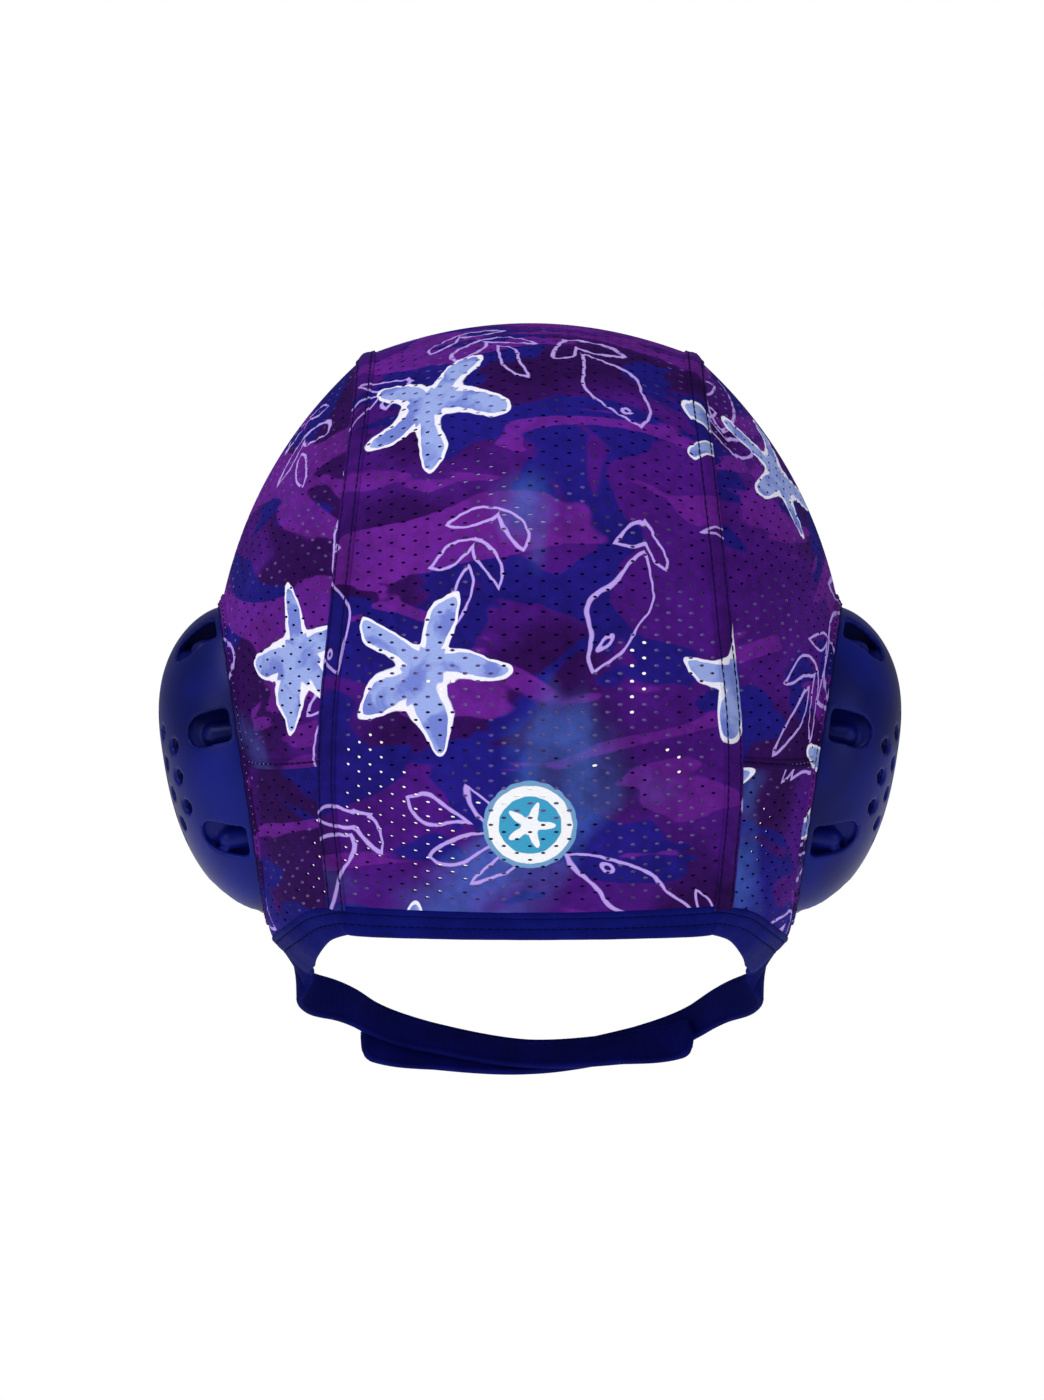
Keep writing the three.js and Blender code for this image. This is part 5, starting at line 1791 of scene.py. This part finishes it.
@dataclass
class EarGuard:
    """A moulded dome over the ear, with windows round it, vents in its face and a flange under the cloth."""

    form: CapForm
    material: Material
    depth: float = 24.1 * MM
    wall: float = 2 * MM
    peak_lift: float = 6 * MM
    fullness: float = 2.5
    shoulder: float = 0.6
    flange_width: float = 4 * MM
    flange_wall: float = 1.2 * MM
    window_count: int = 7
    window_width: float = 10 * MM
    window_length: float = 13 * MM
    window_lift: float = 2.4 * MM
    window_corner: float = 0.9 * MM
    vent_diameter: float = 4.4 * MM
    vent_pitch: float = 9.2 * MM
    vent_rings: int = 2
    vent_back: float = 3 * MM
    vent_down: float = 2 * MM
    post_diameter: float = 7 * MM
    post_height: float = 7.6 * MM
    post_clearance: float = 0.8 * MM
    web_wall: float = 3 * MM
    collar_share: float = 0.76
    collar_wall: float = 1.4 * MM
    rib_wall: float = 1.2 * MM
    voxel: float = 0.6 * MM
    edge_softness: int = 4

    SIDES = 224
    OUTER_STEPS = 64
    INNER_STEPS = 48
    ROUND_SIDES = 28
    RIM_CROWDING = 1.9
    COLLAR_SIDES = 96

    @property
    def bottom(self) -> float:
        """How deep the flange's underside lies."""
        return -(self.form.sizes.cloth_wall + self.form.sizes.seam_gap + self.flange_wall)

    @property
    def window_angles(self) -> Array:
        """The angles of the windows' middles."""
        return (np.arange(self.window_count) + 0.5) * TURN / self.window_count

    def dome(self, angle: Array, share: Array, inset: float) -> Array:
        """Points of the dome in the guard's frame: forward, up, out."""
        s = self.form.sizes
        half_width, half_height = s.guard_width / 2 - inset, s.guard_height / 2 - inset
        rim = np.stack([-half_width * np.sin(angle), half_height * np.cos(angle)], axis=-1)
        flat = np.array([0.0, self.peak_lift]) * (1 - share)[..., None] + rim * share[..., None]
        height = (self.depth - inset) * (1 - share**self.fullness) ** self.shoulder
        return np.concatenate([flat, height[..., None]], axis=-1)

    def share_at(self, height: float, depth: float) -> float:
        """The share of the way from the peak at which a dome has a height."""
        return (1 - (height / depth) ** (1 / self.shoulder)) ** (1 / self.fullness)

    def shares(self, steps: int) -> Array:
        """Shares from near the peak to the rim, closer together where the dome is steep."""
        even = np.linspace(0, 1, steps + 1)[1:]
        return 1 - (1 - even) ** self.RIM_CROWDING

    def shell(self) -> Form:
        """The dome with its flange, before it is pierced."""
        angle = np.linspace(0, TURN, self.SIDES, endpoint=False)
        outer = [self.dome(angle, np.full(len(angle), k), 0.0) for k in self.shares(self.OUTER_STEPS)]
        inner_shares = self.shares(self.INNER_STEPS)[::-1]
        inner = [self.dome(angle, np.full(len(angle), k), self.wall) for k in inner_shares]
        inner_foot = inner[0].copy()
        inner_foot[:, 2] = self.bottom
        rings = outer + self.flange(angle) + [inner_foot] + inner[1:]
        grid = np.stack(rings, axis=0)
        points = grid.reshape(-1, 3)
        faces = grid_faces(len(rings), self.SIDES, False, True)
        outer_pole, inner_pole = len(points), len(points) + 1
        last = (len(rings) - 1) * self.SIDES
        for side in range(self.SIDES):
            after = (side + 1) % self.SIDES
            faces.append((outer_pole, after, side))
            faces.append((inner_pole, last + side, last + after))
        poles = [[0, self.peak_lift, self.depth], [0, self.peak_lift, self.depth - self.wall]]
        points = np.vstack([points, poles])
        return points, outward_faces(points, faces)

    def flange(self, angle: Array) -> list[Array]:
        """The flange's rings under the cloth, from the dome's foot round its edge."""
        form = self.form
        turn = np.linalg.inv(np.array(form.guard_frame()))
        edge = form.edge_point(angle)
        length = np.linalg.norm(edge - form.rim_point(angle), axis=1)
        wide = self.flange_width + 1 * MM
        share = np.minimum(wide / length, 0.6)
        ring, normal = form.side_point(angle, share), form.side_normal(angle, share)
        reach = self.flange_width / wide
        top = form.sizes.cloth_wall + form.sizes.seam_gap
        under = top + self.flange_wall
        rings = []
        for part, depth in ((0, top), (0.5, top), (1, top), (1, under), (0.5, under)):
            start = form.rim_point(angle) - form.guard_out * depth
            end = ring - normal * depth
            point = start + (end - start) * reach * part
            rings.append((np.hstack([point, np.ones((len(point), 1))]) @ turn.T)[:, :3])
        return rings

    def facing(self, angle: float) -> Array:
        """The direction in the flange's plane that a window faces."""
        return np.array([-math.sin(angle), math.cos(angle), 0.0])

    def windows(self) -> list[Form]:
        """Cutters with a straight end by the sewing edge and a round end towards the face."""
        radius = self.window_width / 2
        straight = self.window_lift + self.window_length - radius
        arc = np.linspace(0, math.pi, 17)
        corner = self.window_corner
        outline = [(-radius, self.window_lift + corner), (-radius + corner, self.window_lift)]
        outline += [(radius - corner, self.window_lift), (radius, self.window_lift + corner)]
        outline += [(radius * math.cos(a), straight + radius * math.sin(a)) for a in arc]
        cutters = []
        for angle in self.window_angles:
            out = self.facing(angle)
            up = np.array([0.0, 0.0, 1.0])
            sideways = np.cross(up, out)
            start = self.dome(np.array([angle]), np.array([0.6]), 0.0)[0] * (1, 1, 0)
            ends = [start, start + out * self.form.sizes.guard_height * 0.4]
            rings = np.stack([[end + sideways * x + up * y for x, y in outline] for end in ends])
            cutters.append(closed_form(rings))
        return cutters

    def turned_form(self, profile: Sequence[tuple[float, float]], foot: Array) -> Form:
        """A closed form of rings round an upright axis at a foot."""
        turn = np.linspace(0, TURN, self.ROUND_SIDES, endpoint=False)
        x, y = np.cos(turn), np.sin(turn)
        level = np.ones(len(turn))
        rings = [np.stack([foot[0] + r * x, foot[1] + r * y, z * level], axis=1) for r, z in profile]
        return closed_form(np.stack(rings))

    def vents(self) -> list[Form]:
        """Cutters for the round vents: rings of a triangular pattern with upright columns."""
        radius = self.vent_diameter / 2
        cutters = []
        for column in range(-self.vent_rings, self.vent_rings + 1):
            count = 2 * self.vent_rings + 1 - abs(column)
            for i in range(count):
                up = (i - (count - 1) / 2) * self.vent_pitch - self.vent_down
                forward = -self.vent_back - column * self.vent_pitch * math.sqrt(3) / 2
                foot = np.array([forward, up])
                cutters.append(self.turned_form([(radius, self.depth / 2), (radius, self.depth * 1.2)], foot))
        return cutters

    def posts(self) -> list[Form]:
        """The round-headed posts behind the windows, each with the web that ties it to the wall."""
        radius = self.post_diameter / 2
        forms = []
        for angle in self.window_angles:
            out = self.facing(angle)
            share = self.share_at(self.post_height, self.depth - self.wall)
            wall = self.dome(np.array([angle]), np.array([share]), self.wall)[0]
            foot = (wall - out * (radius + self.post_clearance)) * (1, 1, 0)
            curve = np.linspace(0, 1.45, 8)
            head = [(radius * math.cos(a), self.post_height + radius * math.sin(a)) for a in curve]
            forms.append(self.turned_form([(radius, self.bottom)] + head, foot))
            middle = self.dome(np.array([angle]), np.array([1.0]), self.wall / 2)[0]
            forms.append(self.web(foot, middle))
        return forms

    def ribs(self) -> list[Form]:
        """The ribs between the windows, from the wall round the ear out to the dome."""
        forms = []
        shares = np.linspace(self.collar_share, 0.995, 8)
        for angle in np.arange(self.window_count) * TURN / self.window_count:
            top = self.dome(np.full(8, angle), shares, self.wall / 2)
            line = np.vstack([top, top[::-1][[0, -1]] * (1, 1, 0) + (0, 0, self.bottom)])
            sideways = np.array([math.cos(angle), math.sin(angle), 0.0]) * self.rib_wall / 2
            forms.append(closed_form(np.stack([line - sideways, line + sideways])))
        return forms

    def web(self, foot: Array, end: Array) -> Form:
        """The low web from a post to the wall."""
        along = unit(end - foot)
        up = np.array([0.0, 0.0, 1.0])
        sideways = np.cross(up, along) * self.web_wall / 2
        top = self.window_lift - 1 * MM
        corners = [(-1, self.bottom), (1, self.bottom), (1, top), (-1, top)]
        return closed_form(np.stack([[p + sideways * x + up * z for x, z in corners] for p in (foot, end)]))

    def collar(self) -> Form:
        """The wall round the ear that closes the windows off from it and carries the posts."""
        sides = self.COLLAR_SIDES
        angle = np.linspace(0, TURN, sides, endpoint=False)
        sunk = self.collar_wall / (self.form.sizes.guard_width / 2)
        outer = self.dome(angle, np.full(sides, self.collar_share), self.wall / 2)
        inner = self.dome(angle, np.full(sides, self.collar_share - sunk), self.wall / 2)
        outer_foot, inner_foot = outer.copy(), inner.copy()
        outer_foot[:, 2] = inner_foot[:, 2] = self.bottom
        return closed_form(np.stack([outer_foot, outer, inner, inner_foot]), closed=True)

    def joined(self, name: str, forms: Sequence[Form]) -> Object:
        """Several closed forms as one object."""
        points = np.vstack([p for p, _ in forms])
        faces, start = [], 0
        for own, own_faces in forms:
            faces += [tuple(start + v for v in face) for face in own_faces]
            start += len(own)
        return mesh_object(name, mesh_from(name, points, faces))

    def build(self) -> list[Object]:
        """Both guards, cut, joined to their posts, with soft edges."""
        guard = self.joined("ear_guard_right_shell", [self.shell()])
        for name, operation, forms in (
            ("windows", "DIFFERENCE", self.windows()),
            ("vents", "DIFFERENCE", self.vents()),
            ("collar", "UNION", [self.collar()]),
            ("ribs", "UNION", self.ribs()),
            ("posts", "UNION", self.posts()),
        ):
            other = self.joined(name, forms)
            change = guard.modifiers.new(name, "BOOLEAN")
            change.operation, change.solver, change.object = operation, "MANIFOLD", other
            baked(guard)
            bpy.data.objects.remove(other)
        remesh = guard.modifiers.new("remesh", "REMESH")
        remesh.mode, remesh.voxel_size, remesh.use_smooth_shade = "VOXEL", self.voxel, True
        smooth = guard.modifiers.new("smooth", "SMOOTH")
        smooth.factor, smooth.iterations = 0.5, self.edge_softness
        baked(guard)
        guard.data.transform(self.form.guard_frame())
        guard.data.materials.clear()
        guard.data.materials.append(self.material)
        shade(guard.data)
        left = mesh_object("ear_guard_left_shell", guard.data.copy())
        left.data.transform(Matrix.Diagonal((-1, 1, 1, 1)))
        left.data.flip_normals()
        return [
            finished(guard, ["ear_guard_right"]),
            finished(left, ["ear_guard_left"]),
        ]


# Studio


@dataclass
class Studio:
    """The camera, the lights and the pale floor."""

    look_at: tuple[float, float, float] = (-0.0024, 0.0, -0.1116)
    distance: float = 8.0
    view_height: float = 0.42
    sensor: float = 36.0
    floor_level: float = -0.75
    floor_size: float = 16.0
    floor_colour: str = "f4f4f6"
    glow: float = 0.27

    def camera(self) -> None:
        """The camera behind the cap, level with it."""
        data = bpy.data.cameras.new("camera")
        data.sensor_width = self.sensor
        data.lens = self.sensor * self.distance / self.view_height
        data.clip_end = 50
        camera = in_scene("camera", data)
        camera.location = (self.look_at[0], -self.distance, self.look_at[2])
        camera.rotation_euler = (math.pi / 2, 0, 0)
        bpy.context.scene.camera = camera

    def light(self, name: str, place: tuple[float, float, float], size: float, power: float) -> None:
        """One softbox that looks at the cap."""
        data = bpy.data.lights.new(name, "AREA")
        data.shape, data.size, data.energy = "SQUARE", size, power
        lamp = in_scene(name, data)
        lamp.location = place
        lamp.rotation_euler = (Vector(self.look_at) - Vector(place)).to_track_quat("-Z", "Y").to_euler()

    def world(self) -> None:
        """A white surround that lights the cap softly."""
        world = bpy.data.worlds.new("surround")
        world.use_nodes = True
        tree = Tree(world.node_tree)
        background = world.node_tree.nodes["Background"]
        seen = tree.add("ShaderNodeLightPath")
        strength = tree.ranged(seen.outputs["Is Camera Ray"], 0.0, 1.0, self.glow, 1.0)
        tree.feed(background.inputs["Color"], (1.0, 1.0, 1.0, 1.0))
        tree.feed(background.inputs["Strength"], strength)
        bpy.context.scene.world = world

    def floor(self) -> None:
        """A pale floor well below the cap."""
        half = self.floor_size / 2
        corners = np.array([(-half, -half), (half, -half), (half, half), (-half, half)])
        points = np.hstack([corners, np.full((4, 1), self.floor_level)])
        s = Shader("floor")
        s.dress(linear(self.floor_colour), 0.9, glow=0.6)
        mesh_object("floor", mesh_from("floor", points, [(0, 1, 2, 3)]), s.material)

    def build(self) -> None:
        """Sets the whole studio."""
        scene = bpy.context.scene
        scene.view_settings.view_transform = "Standard"
        self.camera()
        self.world()
        self.light("top_box", (-0.5, -0.9, 1.5), 1.4, 23.0)
        self.light("left_box", (-1.7, -1.5, 0.5), 1.2, 11.0)
        self.light("right_box", (1.7, -1.3, 0.3), 1.2, 8.0)
        self.floor()


def sew(seams: dict[Side, Seams], binding: Binding) -> None:
    """Lays the stitches along the folds and the bands."""
    cloth = SewingThread("cloth_thread", "12104f").material()
    # Pale grains between the stitches: painted highlights where the cloth puckers
    bright = SewingThread("pucker_highlight", "a99be6").material()
    tape = SewingThread("tape_thread", "070b48").material()
    lines = [line for side in Side for line in seams[side].lines]
    # Painted highlights, set half a stitch along each seam line
    pucker_highlights = [set_back(*line, 1.25 * MM) for line in lines]
    edges = [line for side in Side for line in seams[side].edges]
    for name, rows, tree, slot in (
        ("seam_stitches", lines, stitch_tree(cloth, 2.45 * MM, 0.68 * MM, 2.5 * MM), "mesh_cloth"),
        ("seam_pucker_highlights", pucker_highlights, stitch_tree(bright, 0.7 * MM, 0.42 * MM, 2.5 * MM), "mesh_cloth"),
        ("guard_edge_stitches", edges, stitch_tree(cloth, 2.6 * MM, 0.8 * MM, 2.0 * MM), "mesh_cloth"),
        ("binding_stitches", binding.lines, stitch_tree(tape, 2.0 * MM, 0.5 * MM, 2.4 * MM), "elastic_tape"),
    ):
        finished(stitched(name, rows, tree))


def main() -> None:
    """Builds the cap piece by piece around the frame."""
    logging.basicConfig(level=logging.INFO, format="%(message)s")
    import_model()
    Studio().build()

    form = CapForm(CapSizes())
    centre = CentrePanel(form, (0.0, 0.0))
    badge = (0.0, centre.run_at_drop(BADGE_HEIGHT) / MM)
    cloth = PrintedCloth(badge=badge).material()
    lattice = HoleLattice()
    inside = ClothInside(lattice).material()
    tape = WovenTape("elastic_tape", "050a56", "0b1268").material()
    webbing = WovenTape("strap_webbing", "060a4a", "0b1163", rib=1.1).material()
    tree = Perforation(cloth, inside, HoleShade().material()).build()

    panels = [centre.build("centre_panel", lattice, tree)]
    upper = {}
    for side in Side:
        upper[side] = SideCloth(form, Level.UPPER, lattice.whole((0.62, 0.1 + 0.4 * side.value)))
        lower = SideCloth(form, Level.LOWER, lattice.whole((1.1, 0.3 + 0.4 * side.value)))
        panels.append(upper[side].build(f"side_upper_{side.word}", lattice, tree, side))
        panels.append(lower.build(f"side_lower_{side.word}", lattice, tree, side))

    # The folds' print is darkened to 0.78 as painted shade
    painted_shade_cloth = PrintedCloth(name="painted_shade_doubled_cloth", depth=0.78, badge=badge).material()
    seams = {side: Seams(form, centre, upper[side], painted_shade_cloth) for side in Side}
    folds = [fold for side in Side for fold in seams[side].build(side)]
    binding = Binding(form, tape)
    binding.build()
    ChinStrap(form, binding.end_frame(), webbing).build()
    EarGuard(form, MouldedPlastic().material()).build()
    sew(seams, binding)


if __name__ == "__main__":
    main()
